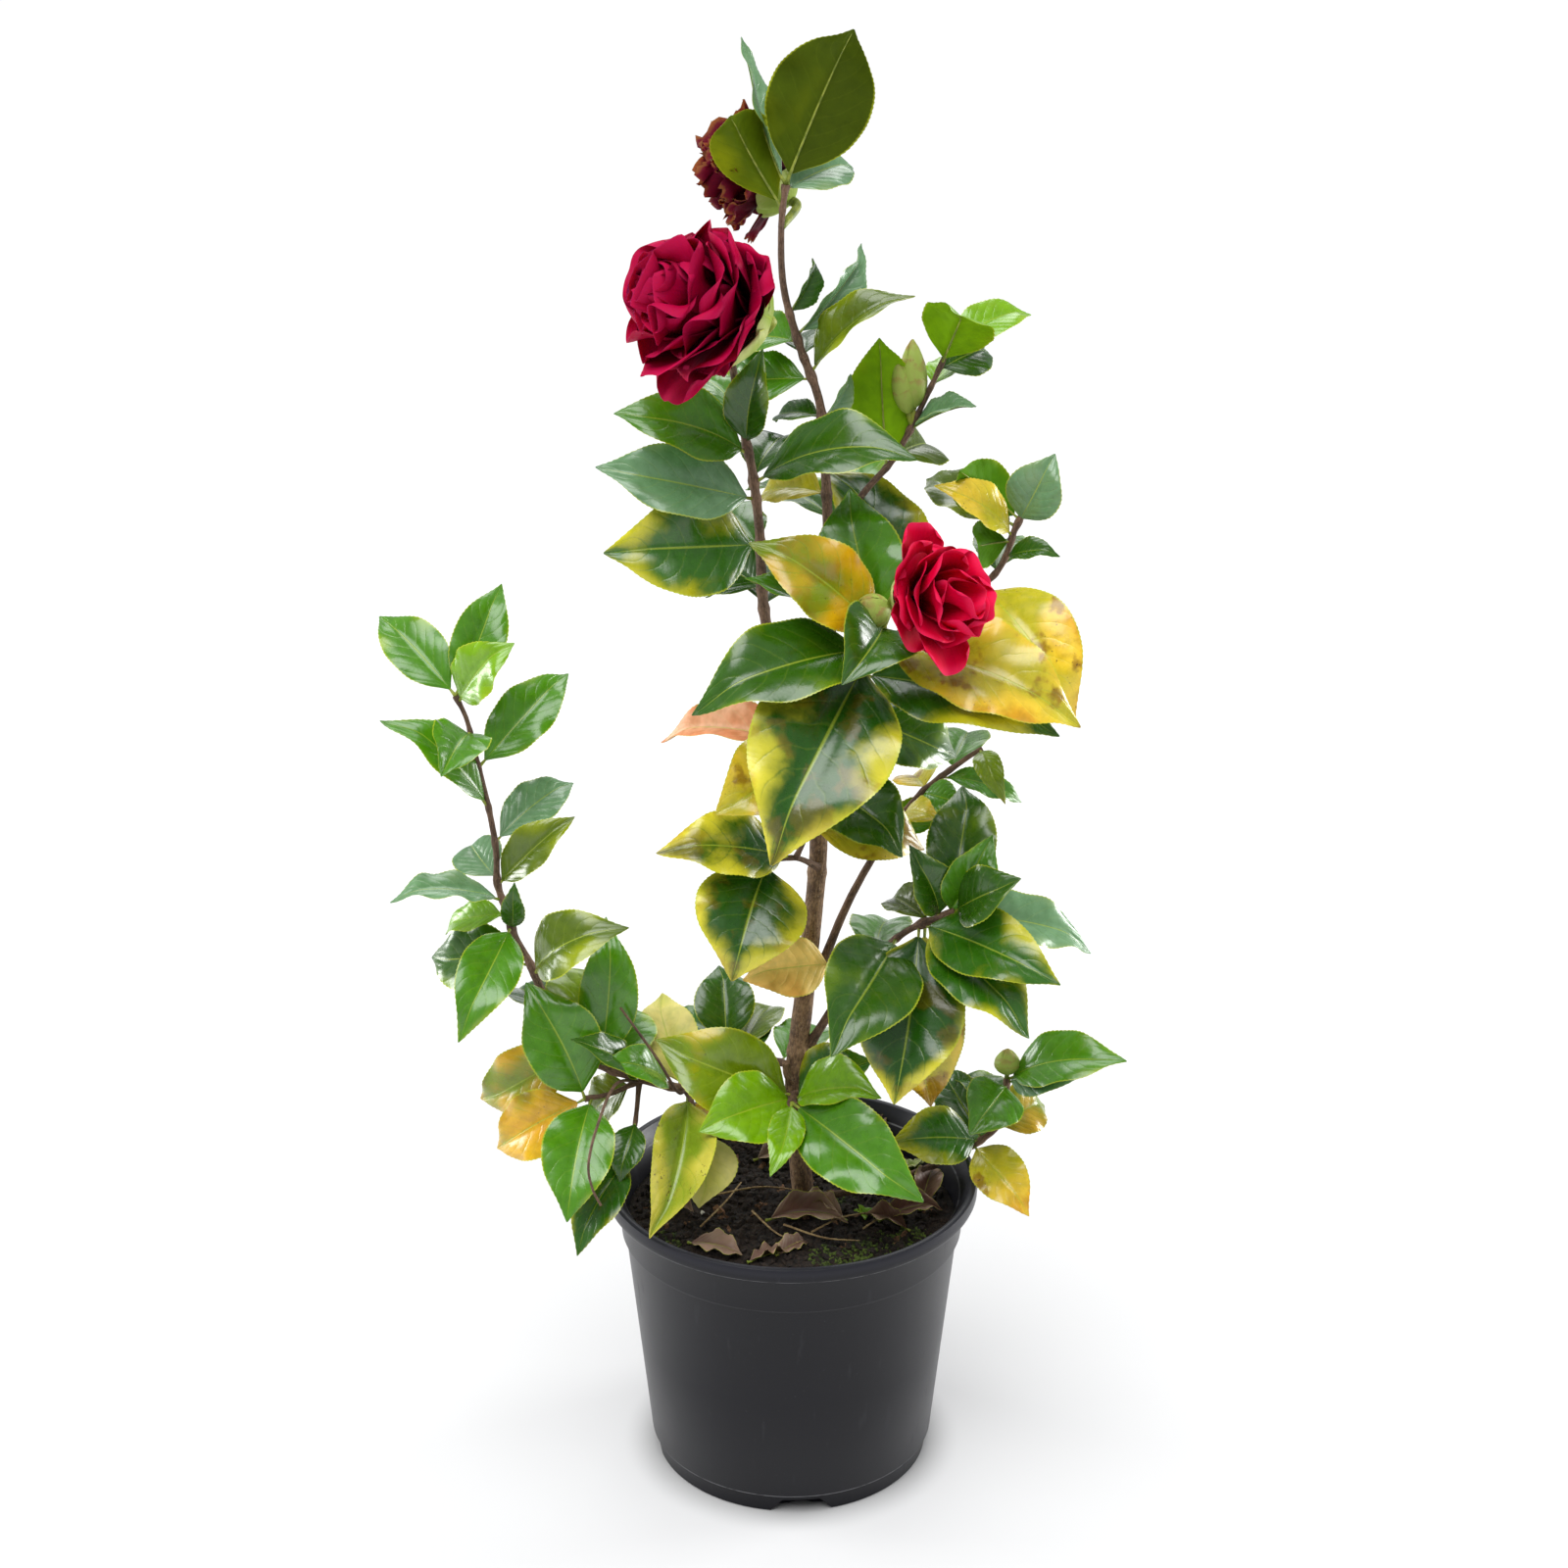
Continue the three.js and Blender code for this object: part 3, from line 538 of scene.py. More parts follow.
# %% The limbs
STEM = Limb([
    (7, -8, 137), (4, -7, 172), (2, -6, 213), (6, -3, 255), (12, 0, 318), (13, 0, 346), (12, 0, 389),
], 5.7, 4.0)
STUB = Limb([(2, -6, 208), (-2, -12, 218), (-3, -14, 226)], 2.4, 1.7)
LIMBS = {
    "leader": Limb([
        (12, 0, 389), (17, 10, 445), (17, 12, 484), (16, 12, 514), (13, 10, 553), (3, 6, 583),
        (-4, 2, 610), (-5, 0, 637), (-3, 0, 656),
    ], 3.2, 1.3),
    "bloom_stem": Limb([
        (12, 0, 389), (-5, -10, 428), (-13, -15, 461), (-15, -18, 500), (-18, -20, 528),
        (-23, -22, 554), (-27, -26, 581),
    ], 3, 1.7),
    "bud_shoot": Limb([
        (17, 12, 484), (33, 22, 507), (48, 26, 524), (60, 30, 546), (71, 30, 571), (73, 30, 578),
    ], 1.8, 1.1),
    "side_shoot": Limb([
        (16, 6, 427), (57, 20, 442), (96, 30, 464), (107, 34, 487), (110, 34, 494),
    ], 2.2, 1.3),
    "front_shoot": Limb([(12, 0, 379), (23, -22, 412), (33, -40, 443), (41, -52, 466)], 2.6, 1.7),
    "back_shoot": Limb([(18, 12, 440), (22, 32, 455), (22, 54, 470), (26, 74, 488)], 2.2, 1.3),
    "right_bough": Limb([
        (15, -1, 273), (25, 6, 297), (35, 12, 316), (48, 18, 336), (64, 24, 355), (85, 28, 371),
        (94, 30, 376),
    ], 2.3, 1.2),
    "mid_right": Limb([
        (9, -4, 231), (30, -14, 271), (53, -26, 301), (69, -34, 313), (78, -38, 319),
    ], 2.3, 1.4),
    "low_right": Limb([
        (9, -8, 146), (31, -5, 148), (56, 0, 153), (77, 6, 159), (88, 9, 163), (104, 14, 173),
        (110, 16, 185), (110, 16, 202),
    ], 1.9, 1.2),
    "front_low": Limb([(2, -8, 205), (0, -34, 214)], 2, 1.6),
    "back_low": Limb([(7, -1, 215), (-6, 12, 213), (-21, 22, 212), (-34, 30, 213)], 2, 1.2),
    "left_bough": Limb([
        (0, -8, 206), (-24, -6, 205), (-53, -8, 208), (-76, -12, 216), (-96, -15, 226),
        (-113, -16, 243), (-122, -16, 263),
    ], 2.2, 2),
    "left_shoot": Limb([
        (-122, -16, 263), (-128, -15, 280), (-135, -14, 294), (-140, -13, 311), (-143, -12, 323),
        (-143, -12, 340), (-146, -10, 361), (-151, -8, 385), (-155, -6, 404), (-160, -5, 416),
    ], 2, 1.1),
    "left_twig": Limb([(-76, -12, 215), (-89, -22, 213), (-102, -30, 214)], 1.3, 1.1),
    "hanging_twig": Limb([(-76, -12, 215), (-78, -20, 196), (-81, -24, 179)], 1.3, 1),
    "dropping_twig": Limb([(-53, -8, 208), (-50, -16, 205), (-47, -20, 197), (-42, -22, 184)], 1.3, 0.8),
    "bare_twig": Limb([(-53, -8, 208), (-57, -18, 212), (-67, -22, 233), (-84, -22, 260)], 0.9, 0.6),
    "dead_twig": Limb([
        (-76, -12, 215), (-86, -42, 228), (-93, -72, 222), (-97, -83, 207), (-95, -89, 197),
        (-91, -91, 189),
    ], 0.9, 0.6),
    "collar_twig": Limb([(13, -6, 328), (2, -16, 337), (-11, -22, 338)], 1.5, 1.1),
    "collar_spur": Limb([(2, -16, 337), (8, -17, 353), (11, -16, 373), (12, -17, 392)], 1.2, 1),
    "stem_spur": Limb([(16, -6, 272), (20, -12, 279), (23, -16, 286)], 1.2, 1),
}
print("limbs:", len(LIMBS))

# %% [markdown]
# ## Where the leaves are
# Each row is one leaf, as in the model: [at, heading, pitch, length, roll, width, tint, arch, fold].
# `at` is the share of the limb's length, lengths are in millimetres and angles in degrees. Arch is
# how far the leaf bows, in hundredths of its length, and fold is how far its halves are folded up.
# The tint names the leaf's colours: an old leaf turns from green to yellow before it drops.

# %% Where the leaves are
LEAVES = {
    "leader": [
        [0.45, 145, -10, 42, -30, 28, "yellow", 10], [0.58, 45, 45, 28, 95, 14, "glaucous", 5, 26],
        [0.59, 140, -10, 32, -25, 18, "dark"], [0.66, 150, -10, 52, -50, 28, "green"],
        [0.67, -5, 40, 60, 35, 28, "olive", 11, 30], [0.7, 95, 0, 46, 0, 24, "dark"],
        [0.73, 135, -10, 46, -35, 30, "green"], [0.74, 40, 40, 58, 95, 20, "glaucous", 4, 36],
        [0.78, 55, 45, 32, 90, 16, "dark", 5, 30], [0.96, -135, 55, 56, 60, 34, "olive", 20, 28],
        [0.99, 45, 10, 44, 35, 28, "glaucous"], [1, -25, 65, 78, -70, 48, "shade", 5],
        [1, 140, 70, 67, 25, 24, "glaucous", -4],
    ],
    "bloom_stem": [
        [0.4, 80, 0, 62, 0, 34, "dark"], [0.45, 120, 5, 40, -40, 34, "dark"],
        [0.55, 120, 5, 60, 0, 32, "green"], [0.56, -155, 5, 76, -70, 47, "patched"],
        [0.67, -165, 15, 76, -55, 36, "glaucous"], [0.71, -20, 15, 80, 30, 40, "dark", 12],
        [0.72, 70, 10, 54, 0, 28, "dark"], [0.78, -160, 20, 66, -50, 36, "green", 10],
        [0.8, -50, 75, 46, 120, 24, "dark", 8, 26], [0.86, 120, 15, 46, 0, 24, "green"],
    ],
    "bud_shoot": [
        [0.42, -135, 85, 64, 45, 32, "young", 6, 10], [0.48, 60, -5, 38, 35, 34, "olive"],
        [0.6, 125, 10, 44, 0, 22, "green"], [0.61, -25, 25, 36, 15, 20, "glaucous", 6, 26],
        [0.67, 120, 15, 28, -25, 20, "green"], [0.8, 60, 10, 36, 0, 20, "young"],
        [0.88, 40, 10, 34, 45, 26, "dark"], [0.91, -75, 45, 44, -30, 36, "young", 10],
        [0.99, 30, 15, 48, 35, 22, "young"],
    ],
    "side_shoot": [
        [0.44, 145, 50, 91, -25, 42, "mottled"], [0.5, 95, -20, 56, 0, 30, "dark"],
        [0.68, -50, -35, 84, 30, 46, "yellow", 16], [0.75, 80, 5, 50, 0, 28, "green"],
        [0.83, -30, 15, 28, 40, 14, "dark", 8, 24], [0.89, -135, 5, 26, 105, 24, "green", 12, 20],
        [0.91, -160, 35, 48, -45, 26, "yellow", 10], [0.95, 130, 10, 70, -25, 30, "olive", 4],
        [0.97, -25, 65, 38, 95, 28, "glaucous"], [0.98, -160, 40, 44, 85, 30, "green", 14, 20],
    ],
    "front_shoot": [
        [0.42, 5, -25, 62, 45, 38, "dark"], [0.68, -25, -5, 98, 35, 44, "patched", 10],
        [0.79, -120, -35, 112, -30, 68, "mottled"], [0.85, -150, -5, 92, -35, 44, "dark", 10],
        [0.89, -170, 30, 68, -15, 28, "green", 4, 24], [0.89, -20, -15, 101, 40, 48, "yellow"],
        [0.94, 135, 15, 64, -25, 32, "dark", 6], [0.96, -170, 40, 74, -65, 38, "autumn"],
        [0.92, 120, 65, 70, -30, 42, "green"], [1, -110, -10, 52, -30, 42, "dark", 12, 30],
    ],
    "back_shoot": [
        [0.25, 150, 0, 72, 0, 38, "dark"], [0.4, 30, -5, 60, 0, 36, "dark"],
        [0.55, 110, -15, 76, 0, 40, "green", 10], [0.7, 60, -10, 70, 0, 38, "mottled"],
        [0.85, 140, 10, 64, 0, 34, "dark"], [0.97, 80, 15, 62, 0, 32, "green"],
    ],
    "right_bough": [
        [0.52, 45, 10, 40, 25, 22, "green"], [0.63, -60, 15, 30, 35, 18, "yellow"],
        [0.73, -40, 0, 24, 40, 18, "green"], [0.75, 100, -10, 34, -20, 24, "yellow"],
        [0.82, 5, -20, 44, 30, 18, "green"], [0.86, 75, 5, 50, 0, 28, "green"],
        [0.99, -70, -30, 34, 25, 14, "lime", 25, 20],
    ],
    "mid_right": [
        [0.55, 80, -5, 58, 0, 32, "green"], [0.69, -115, -15, 84, -30, 48, "dark"],
        [0.82, -105, -55, 87, -10, 52, "mottled", 4, 10], [0.83, -40, -5, 80, 35, 38, "patched"],
        [0.85, -85, -80, 96, 5, 40, "yellow", 6, 10], [0.85, -45, -25, 76, 25, 40, "patched"],
        [0.87, 120, 0, 36, -20, 26, "olive", 6, 28], [0.92, -150, 65, 42, -90, 26, "dark", 10, 28],
        [0.94, 10, -15, 78, 35, 30, "glaucous"], [0.96, 0, 65, 44, 90, 30, "green", 6, 30],
        [0.98, 75, 50, 66, 10, 34, "dark"], [1, -45, 35, 46, 60, 30, "dark"],
    ],
    "low_right": [
        [0.5, 75, 30, 14, 10, 10, "young"], [0.6, 100, 0, 44, 0, 24, "green"],
        [0.67, -50, -25, 48, 35, 28, "yellow", 14, 18], [0.7, -160, 10, 50, -45, 32, "patched"],
        [0.71, 120, 30, 46, -25, 26, "dark"], [0.75, 125, -30, 24, -40, 20, "green"],
        [0.78, 40, 5, 36, 40, 28, "autumn"], [0.86, 125, 5, 42, 0, 24, "dark"],
        [0.97, -120, -10, 42, -30, 32, "green"], [0.98, -30, 20, 46, 40, 28, "glaucous"],
        [0.99, -25, 20, 66, 35, 34, "green", 12],
    ],
    "front_low": [
        [0.21, -10, 30, 44, 50, 34, "patched"], [0.25, -175, 25, 76, -60, 44, "lime", 6],
        [0.42, -145, 0, 56, -45, 38, "young"], [0.58, -30, 20, 52, 35, 34, "young", 8, 28],
        [0.58, 30, -40, 42, 25, 26, "dark"], [1, -100, -15, 48, -10, 18, "young", 4],
        [1, -45, -15, 84, 40, 42, "green", 6],
    ],
    "back_low": [
        [0.35, 60, -5, 58, 0, 32, "green"], [0.6, 110, -5, 56, 0, 32, "dark"],
        [0.8, 70, 5, 52, 0, 28, "olive"], [0.95, 140, 5, 48, 0, 28, "patched"],
        [0.98, 95, 50, 44, -5, 32, "dark"],
    ],
    "left_bough": [
        [0.34, 105, 30, 50, 55, 16, "dark"], [0.38, 110, 40, 54, -15, 32, "pale"],
        [0.42, -135, 35, 50, -40, 24, "green", 10], [0.53, -135, 40, 56, -45, 22, "dark", 10],
        [0.62, 105, -5, 50, 0, 28, "olive"], [0.64, 80, 25, 44, 15, 38, "green", 6, 22],
        [0.68, 60, 80, 74, 30, 30, "green"], [0.79, 75, 30, 50, 5, 42, "lime", 12],
        [0.77, 165, -35, 66, -70, 34, "autumn"], [0.92, 120, -5, 50, 0, 28, "dark"],
    ],
    "left_twig": [
        [0.13, 155, -45, 36, -55, 26, "olive"], [0.88, -100, -35, 66, -15, 36, "green"],
        [1, 170, 65, 66, -55, 40, "green"], [1, 170, -35, 58, -60, 34, "autumn"],
    ],
    "hanging_twig": [[0.53, -110, -40, 32, -10, 18, "dark"], [1, -120, -30, 58, -20, 26, "patched", 6, 20]],
    "dropping_twig": [
        [0.1, -102, -35, 80, -22, 46, "speckled", 8, 50], [0.28, 30, -60, 26, 60, 18, "autumn"],
        [0.73, -86, -45, 40, -5, 32, "pale", 6], [1, 90, -55, 22, 105, 16, "dark"],
    ],
    "left_shoot": [
        [0.08, -20, 35, 60, 50, 34, "olive", 22], [0.11, 155, -10, 60, -55, 36, "dark"],
        [0.24, -80, 70, 30, 170, 12, "dark"], [0.25, -110, -25, 68, -25, 30, "green"],
        [0.29, 155, -20, 40, -30, 20, "young"], [0.34, -150, 15, 60, -15, 24, "glaucous"],
        [0.39, -5, 45, 52, 50, 24, "olive", 6, 22], [0.41, 120, 15, 34, -30, 26, "glaucous"],
        [0.53, 45, 20, 54, 30, 24, "glaucous"], [0.64, -165, 50, 68, -40, 26, "green"],
        [0.77, 40, 35, 66, 40, 28, "green"], [0.88, -100, -5, 46, -25, 32, "green", 6, 30],
        [0.98, -30, 50, 46, 75, 28, "young"], [1, 140, 30, 60, -35, 28, "green"],
        [1, 45, 60, 58, 45, 26, "green"],
    ],
    "collar_twig": [
        [0.65, -155, 15, 68, -45, 36, "mottled"], [1, -110, -40, 62, -20, 54, "mottled", 6, 10],
    ],
    "collar_spur": [
        [0.28, 10, -10, 60, 50, 34, "yellow", 10], [0.71, -45, -15, 62, 35, 38, "dark", 6],
        [0.99, 160, 0, 82, -30, 28, "russet", 10, 34], [1, -137, -15, 62, -40, 44, "yellow", 6],
    ],
    "stem_spur": [[0.55, -155, 5, 48, -60, 30, "tan", 6]],
}
print("leaves:", sum(len(rows) for rows in LEAVES.values()))

# %% [markdown]
# ## Growing with Geometry Nodes
# What repeats, or follows a path or a surface, is grown by Geometry Nodes. Grower builds such a tree
# with named inputs. Its grow method sets them on a modifier, takes the finished mesh, and removes the
# modifier and its source, so only a plain mesh is left.


# %% Geometry Nodes trees
class Grower(Nodes):
    """A Geometry Nodes tree with named inputs."""

    def __init__(self, name, **inputs):
        super().__init__(bpy.data.node_groups.new(name, "GeometryNodeTree"))
        self.socket("Geometry", "INPUT", "Geometry")
        for key, kind in inputs.items():
            self.socket(key, "INPUT", kind)
        self.socket("Geometry", "OUTPUT", "Geometry")
        self.entry = self.tree.nodes.new("NodeGroupInput")

    def socket(self, name, side, kind):
        self.tree.interface.new_socket(name, in_out=side, socket_type="NodeSocket" + kind)

    def input(self, name):
        return Value(self, self.entry.outputs[name])

    def end(self, geometry, material):
        """Every tree ends here: copies are made real, and the finish is given."""
        real = self.node("GeometryNodeRealizeInstances", {}, {"Geometry": geometry})
        dressed = self.node("GeometryNodeSetMaterial", {}, {"Geometry": real, "Material": material})
        self.feed(self.tree.nodes.new("NodeGroupOutput").inputs["Geometry"], dressed)

    def grow(self, source, **values):
        """The plain mesh that the tree grows from an object, which is then removed."""
        modifier = link(source).modifiers.new("grow", "NODES")
        modifier.node_group = self.tree
        for socket in self.tree.interface.items_tree:
            if socket.in_out == "INPUT" and socket.name in values:
                modifier[socket.identifier] = values[socket.name]
        evaluated = source.evaluated_get(bpy.context.evaluated_depsgraph_get())
        mesh = bpy.data.meshes.new_from_object(evaluated)
        source.modifiers.remove(modifier)
        bpy.data.objects.remove(source)
        return mesh


print("a tree takes its inputs by name, and ends in real copies with a finish")

# %% [markdown]
# ## Bark
# A camellia's bark is smooth and grey-brown, with fine cracks that run along the limb, pale breathing
# pores and a ring at every leaf. The tree sweeps a circle along each limb, keeps how far along and how
# far round each corner is, and pushes the corners in and out by noise that is long along the limb. The
# noise is read on a cylinder, so that it meets itself without a seam.


# %% Bark tree
RIDGE_SCALE = 3.2                        # ridges to one turn round the limb, about


def keep(tree, geometry, name, value):
    """Stores a number on every point, for the nodes and the finish that come later."""
    return tree.node("GeometryNodeStoreNamedAttribute", {"data_type": "FLOAT", "domain": "POINT"}, {
        "Geometry": geometry, "Name": name, "Value": value,
    })


def kept(tree, name):
    return tree.node("GeometryNodeInputNamedAttribute", {"data_type": "FLOAT"}, {"Name": name})


def cylinder_place(owner, around, along):
    turn = around * (2 * math.pi)
    return owner.node("ShaderNodeCombineXYZ", {}, {
        "X": turn.maths("COSINE", turn), "Y": turn.maths("SINE", turn), "Z": along,
    })


def push_out(tree, geometry, far):
    """Moves every corner out along its normal."""
    inputs = {"Vector": tree.node("GeometryNodeInputNormal"), "Scale": far}
    offset = tree.node("ShaderNodeVectorMath", {"operation": "SCALE"}, inputs)
    return tree.node("GeometryNodeSetPosition", {}, {"Geometry": geometry, "Offset": offset})


def bark_tree():
    tree = Grower("bark along limbs", Sides="Int", Relief="Float", Grain="Float", Bark="Material")
    radius = tree.node("GeometryNodeInputRadius")
    length = tree.node("GeometryNodeSplineParameter", output="Length")
    limb = keep(tree, keep(tree, tree.input("Geometry"), "along", length), "thick", radius)
    circle = tree.node("GeometryNodeCurvePrimitiveCircle", {}, {
        "Resolution": tree.input("Sides"), "Radius": 1.0,
    })
    circle = keep(tree, circle, "around", tree.node("GeometryNodeSplineParameter", output="Factor"))
    swept = tree.node("GeometryNodeCurveToMesh", {}, {
        "Curve": limb, "Profile Curve": circle, "Scale": radius, "Fill Caps": True,
    })
    spot = cylinder_place(tree, kept(tree, "around"), kept(tree, "along") * tree.input("Grain"))
    noise = tree.node("ShaderNodeTexNoise", {}, {"Vector": spot, "Scale": RIDGE_SCALE, "Detail": 3})
    ridged = push_out(tree, swept, (noise - 0.5) * kept(tree, "thick") * tree.input("Relief"))
    smoothed = tree.node("GeometryNodeSetShadeSmooth", {}, {"Geometry": ridged})
    tree.end(smoothed, tree.input("Bark"))
    return tree


BARK_TREE = bark_tree()
print("bark tree:", len(BARK_TREE.tree.nodes), "nodes")

# %% [markdown]
# The limb's own curve goes into the tree. Its radius tapers, swells a little at every leaf, and opens
# into a collar where the limb leaves another. The stem swells less at its knuckles, and has a root
# flare at the compost.

# %% Limb curves
NODE_SWELL = 0.24                        # how much thicker at a leaf, as a share of the radius
STEM_SWELL = 0.12
NODE_LENGTH = 2.2                        # how far along the limb the swelling reaches, in millimetres
COLLAR_SWELL = 0.55
COLLAR_LENGTH = 3.5
ROOT_FLARE = (1.1, 16)                   # how much wider at the compost, and how high it reaches
CURVE_STEP = 1.4
STEM_KNUCKLES = [0.27, 0.36, 0.53, 0.74, 0.97]


def limb_radii(limb, shares, leaf_shares, swell, collar):
    """The radius at each share of the limb, with its swellings."""
    radii = limb.radius(shares)
    for at in leaf_shares:
        gap = (shares - at) * limb.length / (NODE_LENGTH * MM)
        radii = radii * (1 + swell * np.exp(-gap * gap))
    if collar:
        radii = radii * (1 + COLLAR_SWELL * np.exp(-shares * limb.length / (COLLAR_LENGTH * MM)))
    return radii


def limb_curve(name, limbs, swell=NODE_SWELL, collar=True):
    """One curve object whose splines are these limbs, as (limb, shares of its leaves)."""
    curve = bpy.data.curves.new(name, "CURVE")
    curve.dimensions = "3D"
    for limb, leaf_shares in limbs:
        shares = np.linspace(0, 1, max(6, round(limb.length / (CURVE_STEP * MM))))
        radii = limb_radii(limb, shares, leaf_shares, swell, collar)
        if limb is STEM:
            rise = np.clip(1 - shares * limb.length / (ROOT_FLARE[1] * MM), 0, 1)
            radii = radii + ROOT_FLARE[0] * MM * rise * rise
        spline = curve.splines.new("POLY")
        spline.points.add(len(shares) - 1)
        places = np.column_stack([limb.place(shares), np.ones(len(shares))])
        spline.points.foreach_set("co", places.ravel())
        spline.points.foreach_set("radius", radii)
    return bpy.data.objects.new(name, curve)


print("the stem is", round(2 * STEM.radius(0) / MM, 1), "mm thick above its root flare")

# %% [markdown]
# The bark's colour: grey-brown, darker in the cracks, with pale pores. Young shoots are redder.


# %% Bark finish
CRACK_GRAIN = 90                         # the less, the longer the cracks


def bark_finish(name, dark, pale, pore):
    finish = Finish(name, Roughness=0.78)
    place = finish.place()
    around = finish.node("ShaderNodeAttribute", {"attribute_name": "around"}, output="Fac")
    along = finish.node("ShaderNodeAttribute", {"attribute_name": "along"}, output="Fac")
    spot = cylinder_place(finish, around, along * CRACK_GRAIN)
    cracks = finish.node("ShaderNodeTexNoise", {}, {"Vector": spot, "Scale": 5, "Detail": 4})
    clouds = finish.noise(place, 9)
    pores = finish.noise(place, 0.9, detail=1).ramp(0.66, 0.74)
    shade = (cracks * 0.7 + clouds * 0.5).ramp(0.42, 0.8)
    colour = finish.mix(shade, paint(dark), paint(pale))
    finish.set("Base Color", finish.mix(pores * 0.5, colour, paint(pore)))
    finish.bump(cracks + pores * 0.4, 0.5)
    return finish.material


BARK = bark_finish("stem_bark", "4a3424", "967758", "b8a488")
YOUNG_BARK = bark_finish("young_bark", "402c20", "836550", "a08c6c")
print("bark finishes:", BARK.name, "and", YOUNG_BARK.name)

# %% [markdown]
# Each bough of the model gets its bark, from its foot to its tip. Twigs that lie inside a mass of
# leaves are grown together, a mass at a time. The thinner the limb, the fewer sides its bark has, and
# the deeper its relief is for its radius.

# %% Grow the bark
BOUGHS = {
    # the bough's node: the limb that it is the foot of
    "upper_right_bough": "leader",
    "upper_left_bough": "bloom_stem",
    "bud_shoot_bough": "bud_shoot",
    "side_shoot_bough": "side_shoot",
    "front_bough": "front_shoot",
    "lower_right_bough": "right_bough",
    "middle_right_bough": "mid_right",
    "low_right_branch": "low_right",
    "left_bough": "left_bough",
}
TWIGS = {
    "back_twigs": ["back_shoot"],
    "collar_twigs": ["collar_twig", "collar_spur", "stem_spur"],
    "front_low_twigs": ["front_low"],
    "back_low_twigs": ["back_low"],
    "low_left_twigs": ["left_twig", "hanging_twig", "dropping_twig", "bare_twig", "dead_twig"],
    "left_shoot_twigs": ["left_shoot"],
}


STEM_BARK = {"Sides": 40, "Relief": 0.16, "Grain": 24.0, "Bark": BARK}
BOUGH_BARK = {"Sides": 18, "Relief": 0.2, "Grain": 45.0, "Bark": YOUNG_BARK}
TWIG_BARK = {"Sides": 12, "Relief": 0.24, "Grain": 70.0, "Bark": YOUNG_BARK}


def with_leaves(name):
    return LIMBS[name], [row[0] for row in LEAVES.get(name, [])]


stem_curve = limb_curve("main_stem_bark", [(STEM, STEM_KNUCKLES), (STUB, [1.0])], STEM_SWELL, False)
piece("main_stem_bark", BARK_TREE.grow(stem_curve, **STEM_BARK), ["main_stem"])
for node, limb_name in BOUGHS.items():
    curve = limb_curve(node, [with_leaves(limb_name)])
    piece(f"{limb_name}_bark", BARK_TREE.grow(curve, **BOUGH_BARK), [node])
for name, limb_names in TWIGS.items():
    curve = limb_curve(name, [with_leaves(limb_name) for limb_name in limb_names])
    piece(name, BARK_TREE.grow(curve, **TWIG_BARK))

# %% [markdown]
# ## A thin closed sheet
# Leaves, petals and bud scales are all thin sheets. Each is worked out as a grid of places, and the
# grid is thickened by half on each side, with its edge shared, so that the sheet is closed.


# %% Sheets
def outward(grid):
    """The direction out of the upper side at each place of a grid."""
    normal = np.cross(np.gradient(grid, axis=1), np.gradient(grid, axis=0))
    return normal / np.maximum(np.linalg.norm(normal, axis=2), 1e-12)[..., None]


def sheet(sheath, grid, thickness, upper, lower):
    """A closed sheet over a grid of places: rows run along it, columns across it."""
    rows, columns = grid.shape[:2]
    half = outward(grid) * (np.asarray(thickness) / 2)
    inner = np.zeros((rows, columns), bool)
    inner[1:-1, 1:-1] = True
    top = np.where(inner[..., None], grid + half, grid).reshape(-1, 3)
    bottom = (grid - half)[inner]
    along, across = np.meshgrid(np.linspace(0, 1, rows), np.linspace(0, 1, columns), indexing="ij")
    places = np.stack([along, across], 2)
    numbers = np.arange(rows * columns).reshape(rows, columns)
    below = numbers.copy()
    below[inner] = rows * columns + np.arange(inner.sum())
    quads = np.stack([numbers[:-1, :-1], numbers[:-1, 1:], numbers[1:, 1:], numbers[1:, :-1]], 2)
    backs = np.stack([below[:-1, :-1], below[1:, :-1], below[1:, 1:], below[:-1, 1:]], 2)
    corners = np.vstack([top, bottom])
    spots = np.vstack([places.reshape(-1, 2), places[inner]])
    rim = np.concatenate([~inner.ravel(), np.zeros(inner.sum(), bool)])
    start = sheath.add(corners, spots, quads.reshape(-1, 4).tolist(), upper, rim)
    sheath.more(backs.reshape(-1, 4).tolist(), start, lower)


flat_grid = np.array([[[row, -column, 0.0] for column in range(3)] for row in range(3)])
print("a level sheet, its rows to the right and its columns to the front, faces", outward(flat_grid)[1, 1])

# %% [markdown]
# ## Leaf finishes
# The upper side is waxy and shines; the underside is paler and dull. A leaf that turns keeps its green
# along the midrib longest, while its rim and its tip go yellow first, so each tint is one sum: a cloud
# of noise, plus how near the rim, plus how near the tip. The veins are a pattern on the leaf's own map.

